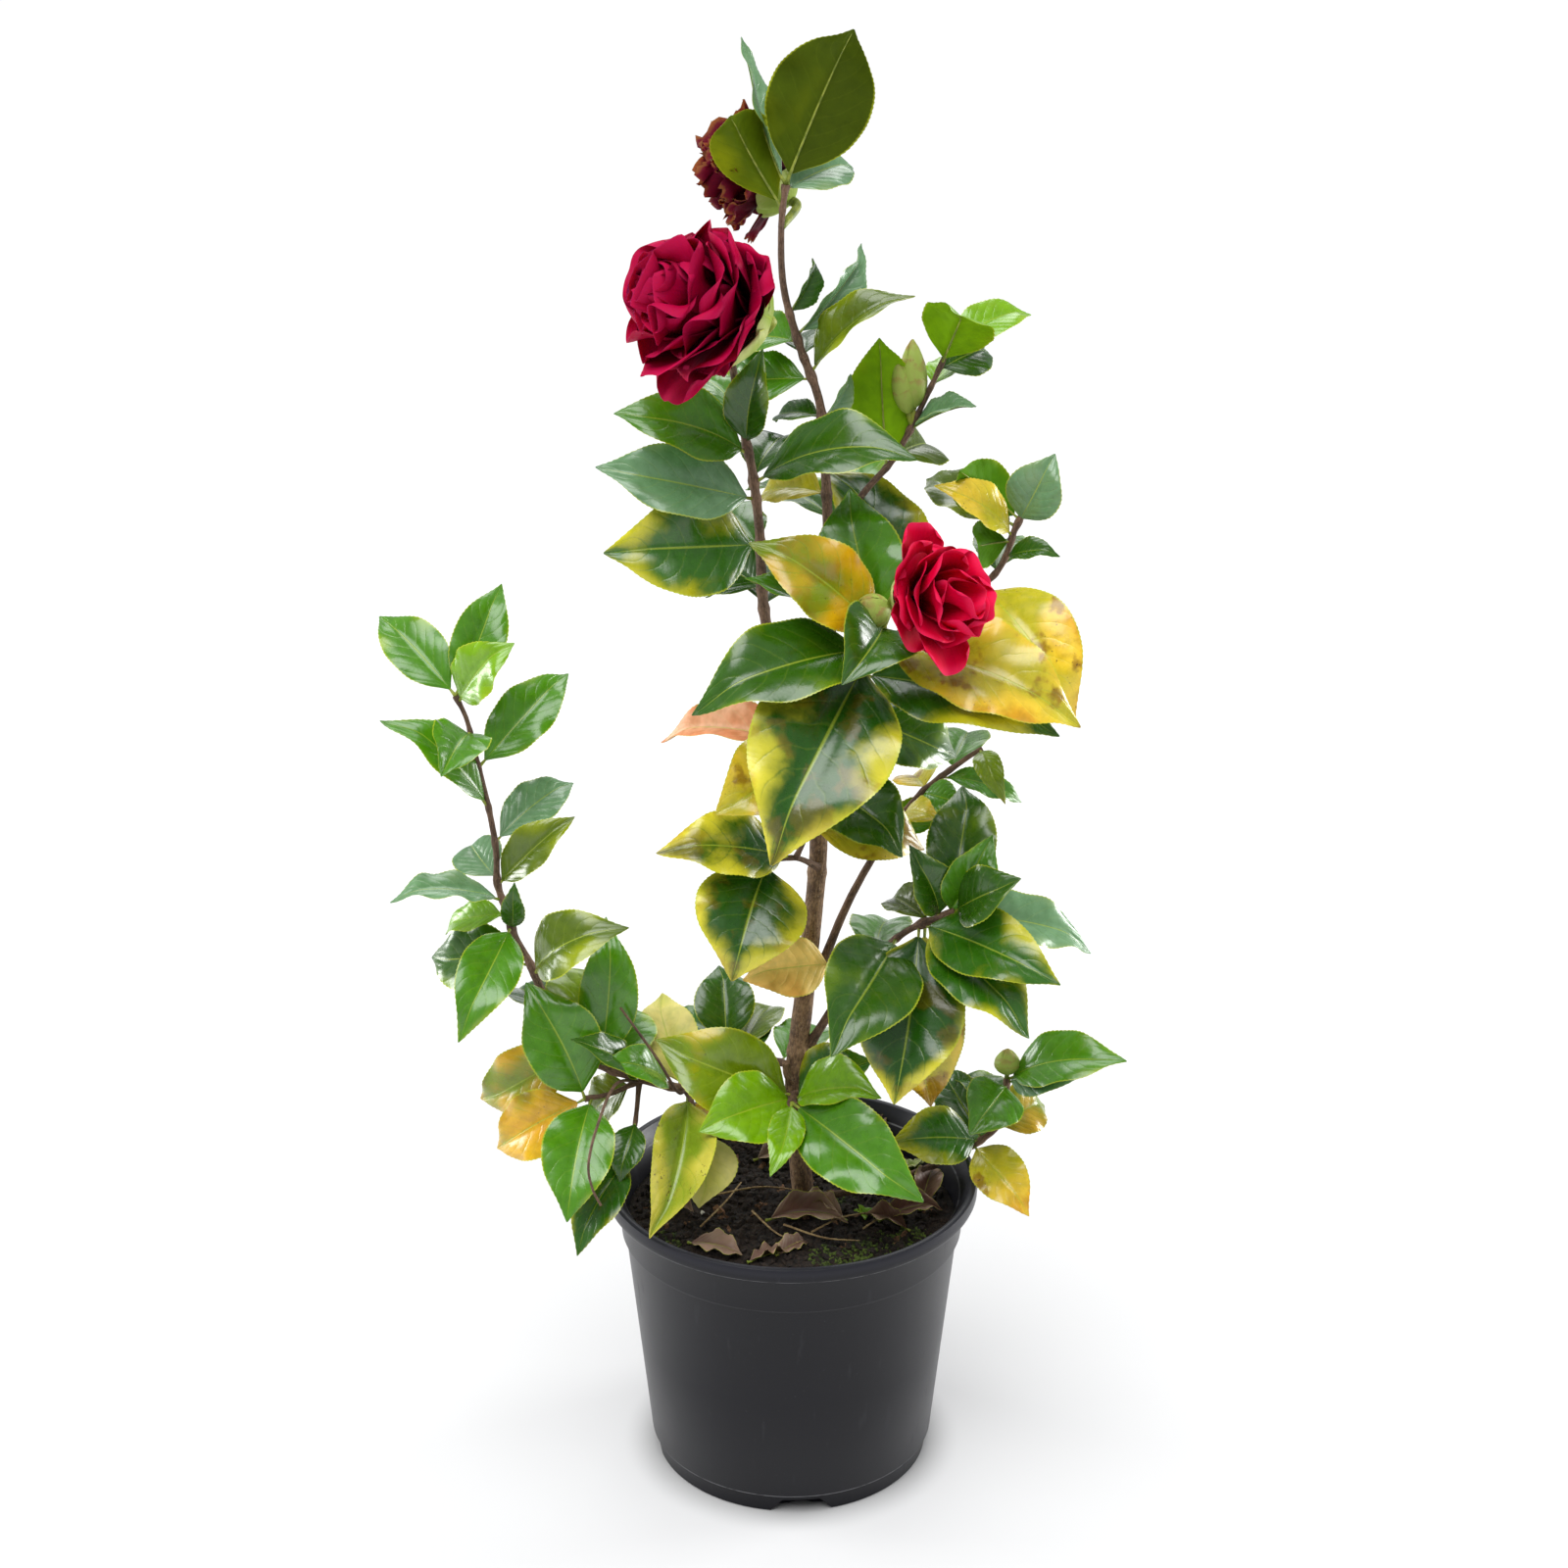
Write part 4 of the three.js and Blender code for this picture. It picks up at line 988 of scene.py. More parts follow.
# %% Tints
TINTS = {
    # tint: (green, turned colour, pull of the rim, pull of the tip, level where it turns, specks)
    "dark": ("305c04", "82a012", 0.45, 0.25, 0.85, 0.15),
    # a paler, bluer green for leaves that mirror the bright room: a painted sheen
    "glaucous": ("6c9468", "98b278", 0.45, 0.25, 0.9, 0.15),
    "green": ("4c860c", "a4bc1c", 0.45, 0.3, 0.9, 0.15),
    "young": ("78aa00", "b0c810", 0.3, 0.2, 0.7, 0.0),
    "shade": ("3c4e00", "6a7400", 0.3, 0.2, 0.6, 0.5),
    "olive": ("566c00", "94a008", 0.4, 0.3, 0.6, 0.3),
    "lime": ("76900a", "dcc01c", 0.2, 0.5, 0.75, 0.7),
    "yellow": ("c4b826", "f2cc34", 0.4, 0.5, 0.42, 1.0),
    "mottled": ("225206", "e4d838", 0.7, 0.4, 0.68, 0.4),
    "patched": ("306408", "d0c820", 0.5, 0.35, 0.72, 0.4),
    "autumn": ("7a8e10", "deac10", 0.1, -0.9, -0.58, 0.8),
    "russet": ("f4bc94", "e88c58", 0.3, 0.5, 0.5, 0.3),
    "tan": ("ffd670", "ffb84c", 0.3, 0.3, 0.6, 0.3),
    "pale": ("ccc85c", "e6d880", 0.3, 0.3, 0.3, 0.5),
    "speckled": ("7c9420", "d2c648", 0.5, 0.3, 0.4, 2.2),
    "sepal": ("93a84a", "c4c886", 0.5, 0.6, 0.45, 0.0),
    "dead": ("66463a", "9e7e6a", 0.4, 0.2, 0.35, 0.3),
}
RAGGED = 2.6                             # how ragged the border between the two colours is
LESS_RAGGED = {"mottled": 1.7, "patched": 2, "dark": 2, "green": 1.5, "young": 1.5}
GOLDEN = ("yellow", "mottled", "autumn")
DRY = ("dead", "russet", "tan", "pale")
print("tints:", ", ".join(TINTS))

# %% [markdown]
# Veins leave the midrib in pairs and lean towards the tip. Sheared by VEIN_LEAN, they become level
# lines, and the fractional part of that sum is a saw whose teeth are the veins. The sum of cloud, rim
# and tip is then read twice: where the green gives way to the tint's second colour, and, on the golden
# leaves, where that gives way to gold. Those leaves also have scorched patches.

# %% Leaf patterns
VEIN_PAIRS = 8
VEIN_LEAN = 1.5
TURN_WIDTH = 0.4                         # how far each side of its level a colour gives way
GOLD = paint("dc980a")
SCORCHED = paint("8c5c10")


def vein_pattern(finish, along, off):
    """(midrib, side veins, swelling between them), each 1 where it is strongest."""
    midrib = 1 - off.ramp(0.008, 0.035)
    wander = finish.noise(finish.place(), 12, detail=1) * 0.5
    saw = (along * VEIN_PAIRS - (off + off * off * 0.5) * VEIN_LEAN + wander + 20).fraction()
    lines = abs(saw - 0.5).ramp(0.42, 0.5)
    puff = saw.maths("SINE", saw * math.pi)
    return midrib, lines * (1 - off.ramp(0.7, 0.92)), puff * off.ramp(0.05, 0.3)


def turning_colour(finish, tint, along, off, cloud, grain, midrib, veins):
    """The leaf's own colour: green, turned, gold or scorched."""
    green, turned, rim_pull, tip_pull, level, _ = TINTS[tint]
    score = cloud * LESS_RAGGED.get(tint, RAGGED) + grain * 0.6 + off * off * rim_pull + along * tip_pull
    score = score - veins * 0.12 - midrib * 0.1 - (1 - off.ramp(0, 0.3)) * 0.15
    colour = finish.mix(score.ramp(level - TURN_WIDTH, level + TURN_WIDTH), paint(green), paint(turned))
    if tint in GOLDEN:
        colour = finish.mix(score.ramp(level + 0.3, level + 1.0) * 0.8, colour, GOLD)
        scorch = (finish.noise(finish.place(), 17, detail=5) + along * 0.12).ramp(0.61, 0.69)
        colour = finish.mix(scorch * (0.75 if tint == "yellow" else 0.3), colour, SCORCHED)
    return colour


print("patterns: midrib,", VEIN_PAIRS, "pairs of veins, and the borders where a leaf turns")

# %% [markdown]
# Over that colour lie a deeper tone in fine grain, the pale ribs, the yellow line of the rim, and brown
# specks, in clusters. The relief is a sum of the same patterns: a rib is a groove above and a ridge
# below. Wax lies unevenly, so the gloss varies, and a dry leaf has none.

# %% Leaf finishes
DEEPER = (0.5, 0.6, 0.45, 1)             # what a colour is multiplied by in the deeper tone
RIB = paint("b4c63c")
RIM = paint("bcc42c")
SPECK = paint("4a3016")
UNDERSIDE = paint("98a83c")


def detailed_colour(finish, colour, off, grain, ribs, specks):
    """The colour with its deeper tone, its ribs, its rim and its specks."""
    deeper = finish.mix(1.0, colour, DEEPER)
    deeper.socket.node.blend_type = "MULTIPLY"
    colour = finish.mix((grain + 0.5).ramp(0.3, 0.75) * 0.5, colour, deeper)
    colour = finish.mix(ribs, colour, RIB)
    colour = finish.mix(off.ramp(0.95, 0.985) * 0.65, colour, RIM)
    if specks:
        rare = 0.72 - 0.05 * specks
        dots = finish.noise(finish.place(), 1.4, detail=2).ramp(rare, rare + 0.06)
        clusters = finish.noise(finish.place(), 18, detail=1).ramp(0.5, 0.66)
        colour = finish.mix(dots * clusters * specks, colour, SPECK)
    return colour


def leaf_finish(tint, under):
    name = f"leaf_{tint}_underside" if under else f"leaf_{tint}"
    finish = Finish(name, Coat_Roughness=0.16, Specular_IOR_Level=0.05 if under else 0.5)
    along, across = finish.blade()
    off = abs(across * 2 - 1)
    place = finish.place()
    cloud = finish.noise(place, 26, detail=1) - 0.5
    grain = finish.noise(place, 5, detail=4) - 0.5
    midrib, veins, puff = vein_pattern(finish, along, off)
    colour = turning_colour(finish, tint, along, off, cloud, grain, midrib, veins)
    ribs = midrib * (0.22 if under else 0.5) + veins * (0.03 if under else 0.07)
    colour = detailed_colour(finish, colour, off, grain, ribs, TINTS[tint][-1])
    finish.set("Base Color", finish.mix(0.08, colour, UNDERSIDE) if under else colour)
    pebbles = finish.noise(place, 0.8, detail=2)
    relief = (midrib * 0.4 + veins * 0.12) * (1 if under else -1)
    finish.bump(relief + puff * 0.35 + pebbles * 0.06 + cloud * 0.8 + grain * 0.5, 0.6, 0.6)
    waxy = finish.noise(place, 6).ramp(0.3, 0.8)
    dull = under or tint in DRY
    finish.set("Roughness", 0.5 + waxy * 0.1 if dull else 0.23 + waxy * 0.14)
    finish.set("Coat Weight", waxy * 0.02 if dull else 0.28 + waxy * 0.15)
    return finish.material


UPPER = {tint: leaf_finish(tint, False) for tint in TINTS}
UNDER = {tint: leaf_finish(tint, True) for tint in TINTS}
print("leaf finishes:", len(UPPER) + len(UNDER))

# %% [markdown]
# The leaf stalk runs on under the blade as its midrib, thick at the foot and fine at the tip.


# %% Stalk finish
def stalk_finish():
    finish = Finish("leaf_stalk", Roughness=0.5)
    clouds = finish.noise(finish.place(), 4)
    finish.set("Base Color", finish.mix(clouds.ramp(0.35, 0.7), paint("6a7a1e"), paint("9ea63e")))
    finish.bump(finish.noise(finish.place(), 0.7), 0.2)
    return finish.material


STALK = stalk_finish()
print("finish:", STALK.name)

# %% [markdown]
# ## A leaf
# The blade is broadest a little before its middle and drawn out into a narrow tip. Its edge is finely
# toothed, the halves are folded up and a little domed, the rim waves, and the tip bends back.

# %% Leaf values
LEAF_STALK = 0.07                        # the stalk's share of the length
LEAF_OUTLINE = [
    (0, 0.05), (0.05, 0.25), (0.13, 0.58), (0.26, 0.88), (0.41, 1), (0.56, 0.97), (0.69, 0.81),
    (0.8, 0.56), (0.88, 0.33), (0.94, 0.16), (0.975, 0.08), (1, 0.015),
]
TOOTH = 0.34                             # how far a tooth stands out, in millimetres
TOOTH_SPACING = 2.3
LEAF_THICKNESS = 0.55
LEAF_COLUMNS = 11
LEAF_ARCH = 8                            # where the leaf's row doesn't give one
LEAF_FOLD = 14
DOME = 0.3
RIM_WAVE = (0.012, 0.026)                # its height, as a share of the leaf's length
RIM_WAVES = (2.2, 3.4)                   # how many there are along the blade
TWIST = 14                               # degrees from foot to tip, either way
TIP_BEND = (0.02, 0.13)                  # how far the tip hangs back, as a share of the length
SWAY = 0.03                              # how far the middle and the tip stand aside
TIP_SWAY = 0.07
CRUMPLE = 3.5                            # how much more the rim of a dead leaf waves
STALK_RADII = (1.05, 0.6, 0.12)          # at the foot, where the blade starts, and at the tip
leaf_line = catmull_rom(LEAF_OUTLINE, 12)
print("the outline is widest at", round(leaf_line[leaf_line[:, 1].argmax(), 0], 2), "of the blade")

# %% [markdown]
# The blade is a grid of places: its rows run across the leaf. Every other row is pushed out at the rim,
# nearer to the next row than to the last, as the teeth of a saw are. Three directions then turn the
# sums into places: along the leaf, out of its face, and across it.


# %% The blade
def leaf_shares(length):
    """Shares of the blade's length, two for each tooth, and which of them are a tooth's point."""
    teeth = max(9, round(length / TOOTH_SPACING))
    pairs = (np.arange(teeth)[:, None] + [0, 0.72]) / teeth
    shares = np.append(pairs.ravel(), 1)
    points = np.append(np.tile([0, 1], teeth), 0)
    return shares, points * smooth(0.08, 0.2, shares) * (1 - smooth(0.93, 1, shares))


def leaf_grid(base, axes, length, width, arch, fold, waving, draw):
    """The leaf's middle surface, as a grid of places in metres."""
    along, face, across = axes
    shares, points = leaf_shares(length)
    half = width / 2 * np.interp(shares, leaf_line[:, 0], leaf_line[:, 1]) + TOOTH * points
    far = LEAF_STALK + (1 - LEAF_STALK) * shares
    side = np.linspace(-1, 1, LEAF_COLUMNS)[None]
    steep = math.radians(fold) * (1 + draw.uniform(-0.15, 0.15) * np.sign(side))
    sweep = half[:, None] * side
    wave = draw.uniform(*RIM_WAVE) * waving * length * side * side * smooth(0.1, 0.35, shares)[:, None]
    ripple = draw.uniform(*RIM_WAVES) * 2 * math.pi * shares[:, None] + side * 1.3 + draw.uniform(0, 6)
    rise = np.abs(sweep) * np.sin(steep) + DOME * half[:, None] * np.abs(side) * (1 - np.abs(side))
    rise = rise + wave * np.sin(ripple) * (1 - smooth(0.85, 1, shares))[:, None]
    twist = math.sin(math.radians(draw.uniform(-TWIST, TWIST)))
    rise = rise + sweep * twist * (shares[:, None] - 0.35)
    middle = 4 * far * (1 - far)
    tip = smooth(0.65, 1, shares) ** 2
    bow = arch * length * middle - length * draw.uniform(*TIP_BEND) * tip
    sway = length * (draw.uniform(-SWAY, SWAY) * middle + draw.uniform(-TIP_SWAY, TIP_SWAY) * tip)
    run = (far * length)[:, None] + 0 * side
    lift = bow[:, None] + rise
    swing = sweep * np.cos(steep) + sway[:, None]
    parts = (run[..., None] * along, lift[..., None] * face, swing[..., None] * across)
    return base + sum(parts) * MM


print("a leaf 80 mm long has", (len(leaf_shares(80)[0]) - 1) // 2, "teeth on each side")

# %% [markdown]
# A leaf is its blade and one tube under it, which starts on the limb as the stalk and runs on as the
# midrib. Rows of the tables give no arch or fold where the leaf has the usual one.


# %% A leaf
def leaf_thickness(rows):
    """Thickest along the midrib, in metres, and thin towards the rim."""
    side = np.linspace(-1, 1, LEAF_COLUMNS)
    thick = LEAF_THICKNESS * (0.75 + 0.5 * np.exp(-(side * 4) ** 2))
    return np.tile(thick, (rows, 1))[..., None] * MM


def add_leaf(sheath, base, row, draw):
    """One leaf from its row, with its stalk and midrib."""
    _, heading, pitch, length, roll, width, tint, *shape = row
    arch = (shape[0] if shape else LEAF_ARCH) / 100
    fold = shape[1] if len(shape) > 1 else LEAF_FOLD
    axes = axes_of(heading, pitch, roll)
    waving = CRUMPLE if tint == "dead" else 1
    grid = leaf_grid(base, axes, length, width, arch, fold, waving, draw)
    sheet(sheath, grid, leaf_thickness(len(grid)), UPPER[tint], UNDER[tint])
    rib = grid[:-2, LEAF_COLUMNS // 2][::3] - axes[1] * 0.5 * MM
    line = np.vstack([base, base + (rib[0] - base) * 0.5, rib])
    radii = np.interp(np.linspace(0, 1, len(line)), [0, 0.12, 1], STALK_RADII) * MM
    tube(sheath, line, radii, 6, STALK)


print("a blade is", round(leaf_thickness(1).max() / MM, 2), "mm thick at its midrib")

# %% [markdown]
# One piece of leaves stands for each mass of the model. The draws come from one seeded source for each
# mass, so that a change to one leaves the others as they were.

# %% Grow the leaves
MASSES = {
    # the mass's node: the limbs whose leaves it holds
    "top_foliage": ["leader"],
    "upper_left_foliage": ["bloom_stem"],
    "bud_shoot_foliage": ["bud_shoot"],
    "side_shoot_foliage": ["side_shoot"],
    "front_foliage": ["front_shoot"],
    "back_foliage": ["back_shoot"],
    "lower_right_foliage": ["right_bough"],
    "middle_right_foliage": ["mid_right"],
    "low_right_foliage": ["low_right"],
    "collar_foliage": ["collar_twig", "collar_spur"],
    "stem_spur_foliage": ["stem_spur"],
    "front_low_foliage": ["front_low"],
    "back_low_foliage": ["back_low"],
    "low_left_foliage": ["left_bough", "left_twig", "hanging_twig", "dropping_twig"],
    "left_shoot_foliage": ["left_shoot"],
}
for seed, (node, limb_names) in enumerate(MASSES.items(), 100):
    sheath = Sheath()
    draw = random.Random(seed)
    for limb_name in limb_names:
        for row in LEAVES[limb_name]:
            add_leaf(sheath, LIMBS[limb_name].place(row[0]), row, draw)
    name = node.replace("foliage", "leaves")
    piece(name, sheath.mesh(name), [node])

# %% [markdown]
# ## Petal finishes
# Camellia petals are soft and dull, so the shader lets a little light under the surface and keeps the
# gloss low. The colour is painted deep crimson towards each petal's foot, a painted shade in the folds,
# and brighter towards its tip. Fine veins run along each petal, and the rim is painted a touch paler, a
# painted light where light comes through. The old bloom is brown where it has dried, from the rim inwards.


# %% Petal finishes
PETAL_SHADER = {
    "Roughness": 0.5, "Subsurface_Weight": 0.12, "Subsurface_Scale": 0.002, "Specular_IOR_Level": 0.03,
}


def petal_finish(name, foot_shade, bright, rim, dry=None):
    finish = Finish(name, **PETAL_SHADER)
    along, across = finish.blade()
    place = finish.place()
    drawn = finish.node("ShaderNodeCombineXYZ", {}, {"X": along * 0.6, "Y": across * 16})
    lines = finish.node("ShaderNodeTexNoise", {}, {"Vector": drawn, "Scale": 2.2, "Detail": 3})
    clouds = finish.noise(place, 9)
    # Deep towards the foot, a painted shade in the folds, and brighter towards the tip.
    shade = (along * 0.9 + clouds * 0.4 + lines * 0.25 - 0.3).ramp(0.25, 0.95)
    colour = finish.mix(shade, paint(foot_shade), paint(bright))
    # A paler rim and tip: a painted light where light comes through.
    edge = (along.ramp(0.86, 0.99)).at_least(abs(across * 2 - 1).ramp(0.84, 0.99))
    colour = finish.mix(edge * 0.4, colour, paint(rim))
    if dry:
        patchy = (edge * 0.5 + finish.noise(place, 5) - 0.1).ramp(0.66, 1.0)
        colour = finish.mix(patchy, colour, paint(dry))
    finish.set("Base Color", colour)
    finish.bump(lines * 0.6 + clouds * 0.5, 0.35, 0.8)
    return finish.material


CRIMSON = petal_finish("petal_crimson", "3a000e", "a60236", "c02256")
CHERRY = petal_finish("petal_cherry", "8a0014", "d80238", "e8386a")
FADED = petal_finish("petal_faded", "2c0610", "5e0e24", "6a2e26", dry="7c4a2a")
print("petal finishes:", ", ".join(petal.name for petal in (CRIMSON, CHERRY, FADED)))

# %% [markdown]
# ## A petal
# A petal starts at the bloom's foot and leans out from its axis by an angle that grows along the petal.
# Its middle line is walked in steps, turning a little at each. The halves are cupped, the far rim is
# ruffled, and the tip is rounded with a small notch.

# %% A petal
PETAL_OUTLINE = [(0, 0.28), (0.2, 0.52), (0.45, 0.85), (0.66, 1), (0.8, 1), (0.92, 0.9), (1, 0.7)]
PETAL_ROWS = 20
PETAL_COLUMNS = 21
PETAL_THICKNESS = 0.6
PETAL_NOTCH = 0.05                       # the deepest notch in a tip, as a share of the petal's width
ANY_PHASE = (0, 6)                       # radians
petal_line = catmull_rom(PETAL_OUTLINE, 12)


def petal_grid(foot, axis, turn, lean, bend, length, width, cup, ruffle, jag, draw):
    """The petal's middle surface: lean and bend in degrees, lengths in mm, the rest in shares."""
    side = unit(np.cross(axis, [0.02, 0.1, 1]))
    out = side * math.cos(turn) + np.cross(axis, side) * math.sin(turn)
    across = np.cross(out, axis)
    shares = np.linspace(0, 1, PETAL_ROWS)
    angle = np.radians(lean + bend * shares)
    along = np.cos(angle)[:, None] * axis + np.sin(angle)[:, None] * out
    face = np.sin(angle)[:, None] * axis - np.cos(angle)[:, None] * out
    middle = foot + np.cumsum(along, 0) * length / PETAL_ROWS * MM
    part = np.linspace(-1, 1, PETAL_COLUMNS)[None]
    half = width / 2 * np.interp(shares, petal_line[:, 0], petal_line[:, 1])[:, None]
    rim = np.abs(part) ** 1.6 * smooth(0.15, 0.9, shares)[:, None]
    tip = smooth(0.6, 1, shares)[:, None]
    waves = np.sin(part * draw.uniform(2, 3.4) + draw.uniform(*ANY_PHASE))
    waves = waves * np.sin(shares[:, None] * draw.uniform(2, 5) + draw.uniform(*ANY_PHASE))
    crinkle = np.sin(part * draw.uniform(4, 6.5) + draw.uniform(*ANY_PHASE) + 2 * shares[:, None])
    lift = cup * half * part**2 + ruffle * length * (waves * np.maximum(rim, tip) + 0.35 * crinkle * tip)
    round_ = 1 - np.sqrt(1 - (0.97 * part) ** 2)
    notch = draw.uniform(0, PETAL_NOTCH) * np.exp(-((part * 4) ** 2))
    back = width * (0.32 * round_ + notch) * tip**1.5
    teeth = np.array([draw.random() for _ in range(PETAL_COLUMNS)])
    back = back + jag * length * teeth * smooth(0.75, 1, shares)[:, None]
    swing = half * np.sin(part * draw.uniform(1.2, 1.5)) / 1.2
    parts = (swing[..., None] * across, lift[..., None] * face[:, None], -back[..., None] * along[:, None])
    return middle[:, None] + sum(parts) * MM


def petal_thickness():
    """Half as thick at the tip as at the foot, in metres."""
    thin = 1 - 0.5 * np.linspace(0, 1, PETAL_ROWS)[:, None, None]
    return PETAL_THICKNESS * thin * np.ones((1, PETAL_COLUMNS, 1)) * MM


print("a petal is a grid of", PETAL_ROWS, "by", PETAL_COLUMNS, "places")

# %% [markdown]
# ## The blooms
# A camellia's double bloom is a ball of petals. Every petal starts at the foot, behind the ball's
# middle, and its tip lies near the ball's skin: the outer ones far round towards the back, and each
# ring inside them nearer the front. Each row below is a ring: how many petals, how many degrees round
# from the front their tips lie, how far they flare outwards, their width as a share of the bloom's
# radius, their cup, and their ruffle. Loose petals hang out of the ball: each has a turn of its own
# before those values, and after them how far it reaches, in radii.

# %% Bloom values
BLOOMS = {
    "large_bloom": {
        "finish": CRIMSON, "slot": "crimson_petals", "stem": "bloom_stem", "at": 1.0,
        "centre": (-39, -60, 616), "facing": (-150, 22), "radius": 35, "seed": 4, "jag": 0.0, "calyx": 0.88,
        "rings": [
            (6, 108, 50, 1.75, 0.1, 0.07), (6, 86, 38, 1.65, 0.2, 0.095), (6, 66, 28, 1.5, 0.3, 0.115),
            (6, 46, 20, 1.3, 0.35, 0.13), (6, 28, 14, 1.05, 0.45, 0.15), (5, 12, 10, 0.8, 0.5, 0.16),
        ],
        "loose": [(84, 96, 25, 1.3, 0.25, 0.06, 1.34), (104, 74, 15, 1.35, 0.3, 0.06, 1.3)],
    },
    "small_bloom": {
        "finish": CHERRY, "slot": "crimson_petals", "stem": "front_shoot", "at": 1.0,
        "centre": (64, -86, 491), "facing": (-48, 14), "radius": 26, "seed": 9, "jag": 0.0, "calyx": 0.6,
        "rings": [
            (5, 102, 50, 1.6, 0.1, 0.07), (5, 74, 35, 1.6, 0.2, 0.09), (4, 46, 25, 1.4, 0.3, 0.11),
            (3, 18, 14, 1.0, 0.4, 0.13),
        ],
        "loose": [
            (88, 88, 20, 1.2, 0.3, 0.06, 1.36), (-92, 98, 15, 1.2, 0.35, 0.06, 1.34),
            (-50, 92, 20, 1.3, 0.3, 0.06, 1.15),
        ],
    },
    "spent_bloom": {
        "finish": FADED, "slot": "spent_petals", "stem": "leader", "at": 0.93,
        "centre": (-20, 31, 658), "facing": (150, 30), "radius": 27, "seed": 13, "jag": 0.12, "calyx": 0.7,
        "rings": [
            (8, 115, 40, 0.8, 0.4, 0.16), (8, 90, 40, 0.75, 0.5, 0.2), (8, 62, 30, 0.7, 0.6, 0.22),
            (7, 36, 30, 0.6, 0.6, 0.24), (4, 12, 20, 0.5, 0.6, 0.24),
        ],
        "loose": [(90, 125, 30, 0.6, 0.3, 0.15, 1.25), (140, 120, 30, 0.6, 0.3, 0.15, 1.2)],
    },
}
PETALS_FROM = 0.8                        # how far behind the middle the petals start, in radii
RING_TURN = 2.4                          # radians from one ring to the next
PETAL_REACH = (0.86, 1.06)               # how far the tips reach from the middle, in radii
PETAL_SIZES = (0.8, 1.15)
TIP_PLAY = 9                             # degrees by which a tip strays, and a petal flares, either way
FLARE_PLAY = 14
CALYX_FROM = 0.94                        # how far behind the middle the sepals start, in radii
SEPALS = 6
SEPAL_SHAPE = (84, -60, 1.05, 1.15, 0.3, 0.02)      # lean, bend, length, width, cup and ruffle
SEPAL_SIZES = (0.8, 1.1)
SEPAL_STOUTNESS = 1.6
STEM_RADII = (1.7, 2.6)                  # of the bloom's short stalk, from the limb to the cup
print("petals:", sum(ring[0] for bloom in BLOOMS.values() for ring in bloom["rings"]))


# %% [markdown]
# The lean and the length of a petal follow from where its tip lies. Each bloom sits in a cup of green
# sepals, which hug the ball from behind, on a short stalk from its limb's tip.

# %% Make the blooms
def add_petal(sheath, foot, axis, turn, ring, reach, bloom, draw):
    """One petal whose tip lies `reach` radii from the ball's middle."""
    tip, flare, width, cup, ruffle = ring
    tip = math.radians(tip + draw.uniform(-TIP_PLAY, TIP_PLAY))
    flare = flare + draw.uniform(-FLARE_PLAY, FLARE_PLAY)
    ahead = math.cos(tip) * reach + PETALS_FROM
    out = math.sin(tip) * reach
    bow = math.radians(abs(flare) / 2)
    length = math.hypot(ahead, out) * bow / math.sin(bow) * bloom["radius"]
    lean = math.degrees(math.atan2(out, ahead)) - flare / 2
    grid = petal_grid(
        foot, axis, turn, lean, flare, length, width * bloom["radius"] * draw.uniform(*PETAL_SIZES),
        cup, ruffle, bloom["jag"], draw,
    )
    sheet(sheath, grid, petal_thickness(), bloom["finish"], bloom["finish"])


def make_petals(name, bloom, centre, axis, draw):
    petals = Sheath()
    foot = centre - axis * bloom["radius"] * PETALS_FROM * MM
    for number, (count, *ring) in enumerate(bloom["rings"]):
        for index in range(count):
            turn = number * RING_TURN + (index + draw.uniform(-0.35, 0.35)) * 2 * math.pi / count
            add_petal(petals, foot, axis, turn, ring, draw.uniform(*PETAL_REACH), bloom, draw)
    for turn, *ring, reach in bloom["loose"]:
        add_petal(petals, foot, axis, math.radians(turn), ring, reach, bloom, draw)
    piece(f"{name}_petals", petals.mesh(name), [name])


def make_calyx(name, bloom, centre, axis, draw):
    calyx = Sheath()
    cup = centre - axis * bloom["radius"] * CALYX_FROM * MM
    lean, bend, length, width, hollow, ruffle = SEPAL_SHAPE
    size = bloom["radius"] * bloom["calyx"]
    for index in range(SEPALS):
        turn = (index + draw.uniform(-0.15, 0.15)) * 2 * math.pi / SEPALS
        grid = petal_grid(
            cup, axis, turn, lean, bend, length * size * draw.uniform(*SEPAL_SIZES),
            width * size, hollow, ruffle, 0, draw,
        )
        sheet(calyx, grid, petal_thickness() * SEPAL_STOUTNESS, UPPER["sepal"], UNDER["sepal"])
    start = LIMBS[bloom["stem"]].place(bloom["at"])
    line = catmull_rom([start, cup - axis * 4 * MM, cup + axis * 2 * MM], 6)
    tube(calyx, line, np.linspace(*STEM_RADII, len(line)) * MM, 10, STALK)
    piece(f"{name}_calyx", calyx.mesh(f"{name}_calyx"))


for name, bloom in BLOOMS.items():
    axis = pointing(*bloom["facing"])
    centre = np.array(bloom["centre"]) * MM
    draw = random.Random(bloom["seed"])
    make_petals(name, bloom, centre, axis, draw)
    make_calyx(name, bloom, centre, axis, draw)

# %% [markdown]
# ## Buds
# A bud is an egg wrapped in overlapping scales. Each scale is a sheet laid over the egg: a ring of
# small ones at the foot, and longer ones that close over the tip.

# %% Bud values
BUDS = [
    # limb, at, heading, pitch, stalk, length, radius
    ("bud_shoot", 0.63, 95, 82, 7, 33, 6.6), ("bud_shoot", 0.62, 175, 76, 6, 28, 5),
    ("side_shoot", 1, 60, 70, 1, 9, 2.2), ("front_shoot", 1, -120, 45, 7, 17, 8),
    ("low_right", 1, 90, 85, 2, 14, 6.4),
]
BUD_SCALE_RINGS = [
    # how many scales, how far up the bud they reach, how far they stand out
    (4, 0.45, 1.04), (4, 0.72, 1.02), (3, 0.98, 1.0),
]
BUD_STALK_RADII = (1.4, 1.3, 1.6)
SCALE_ROWS = 10
SCALE_COLUMNS = 9
SCALE_THICKNESS = 0.35
CORE = 0.9                               # the egg's radius under the scales, as a share of the bud's


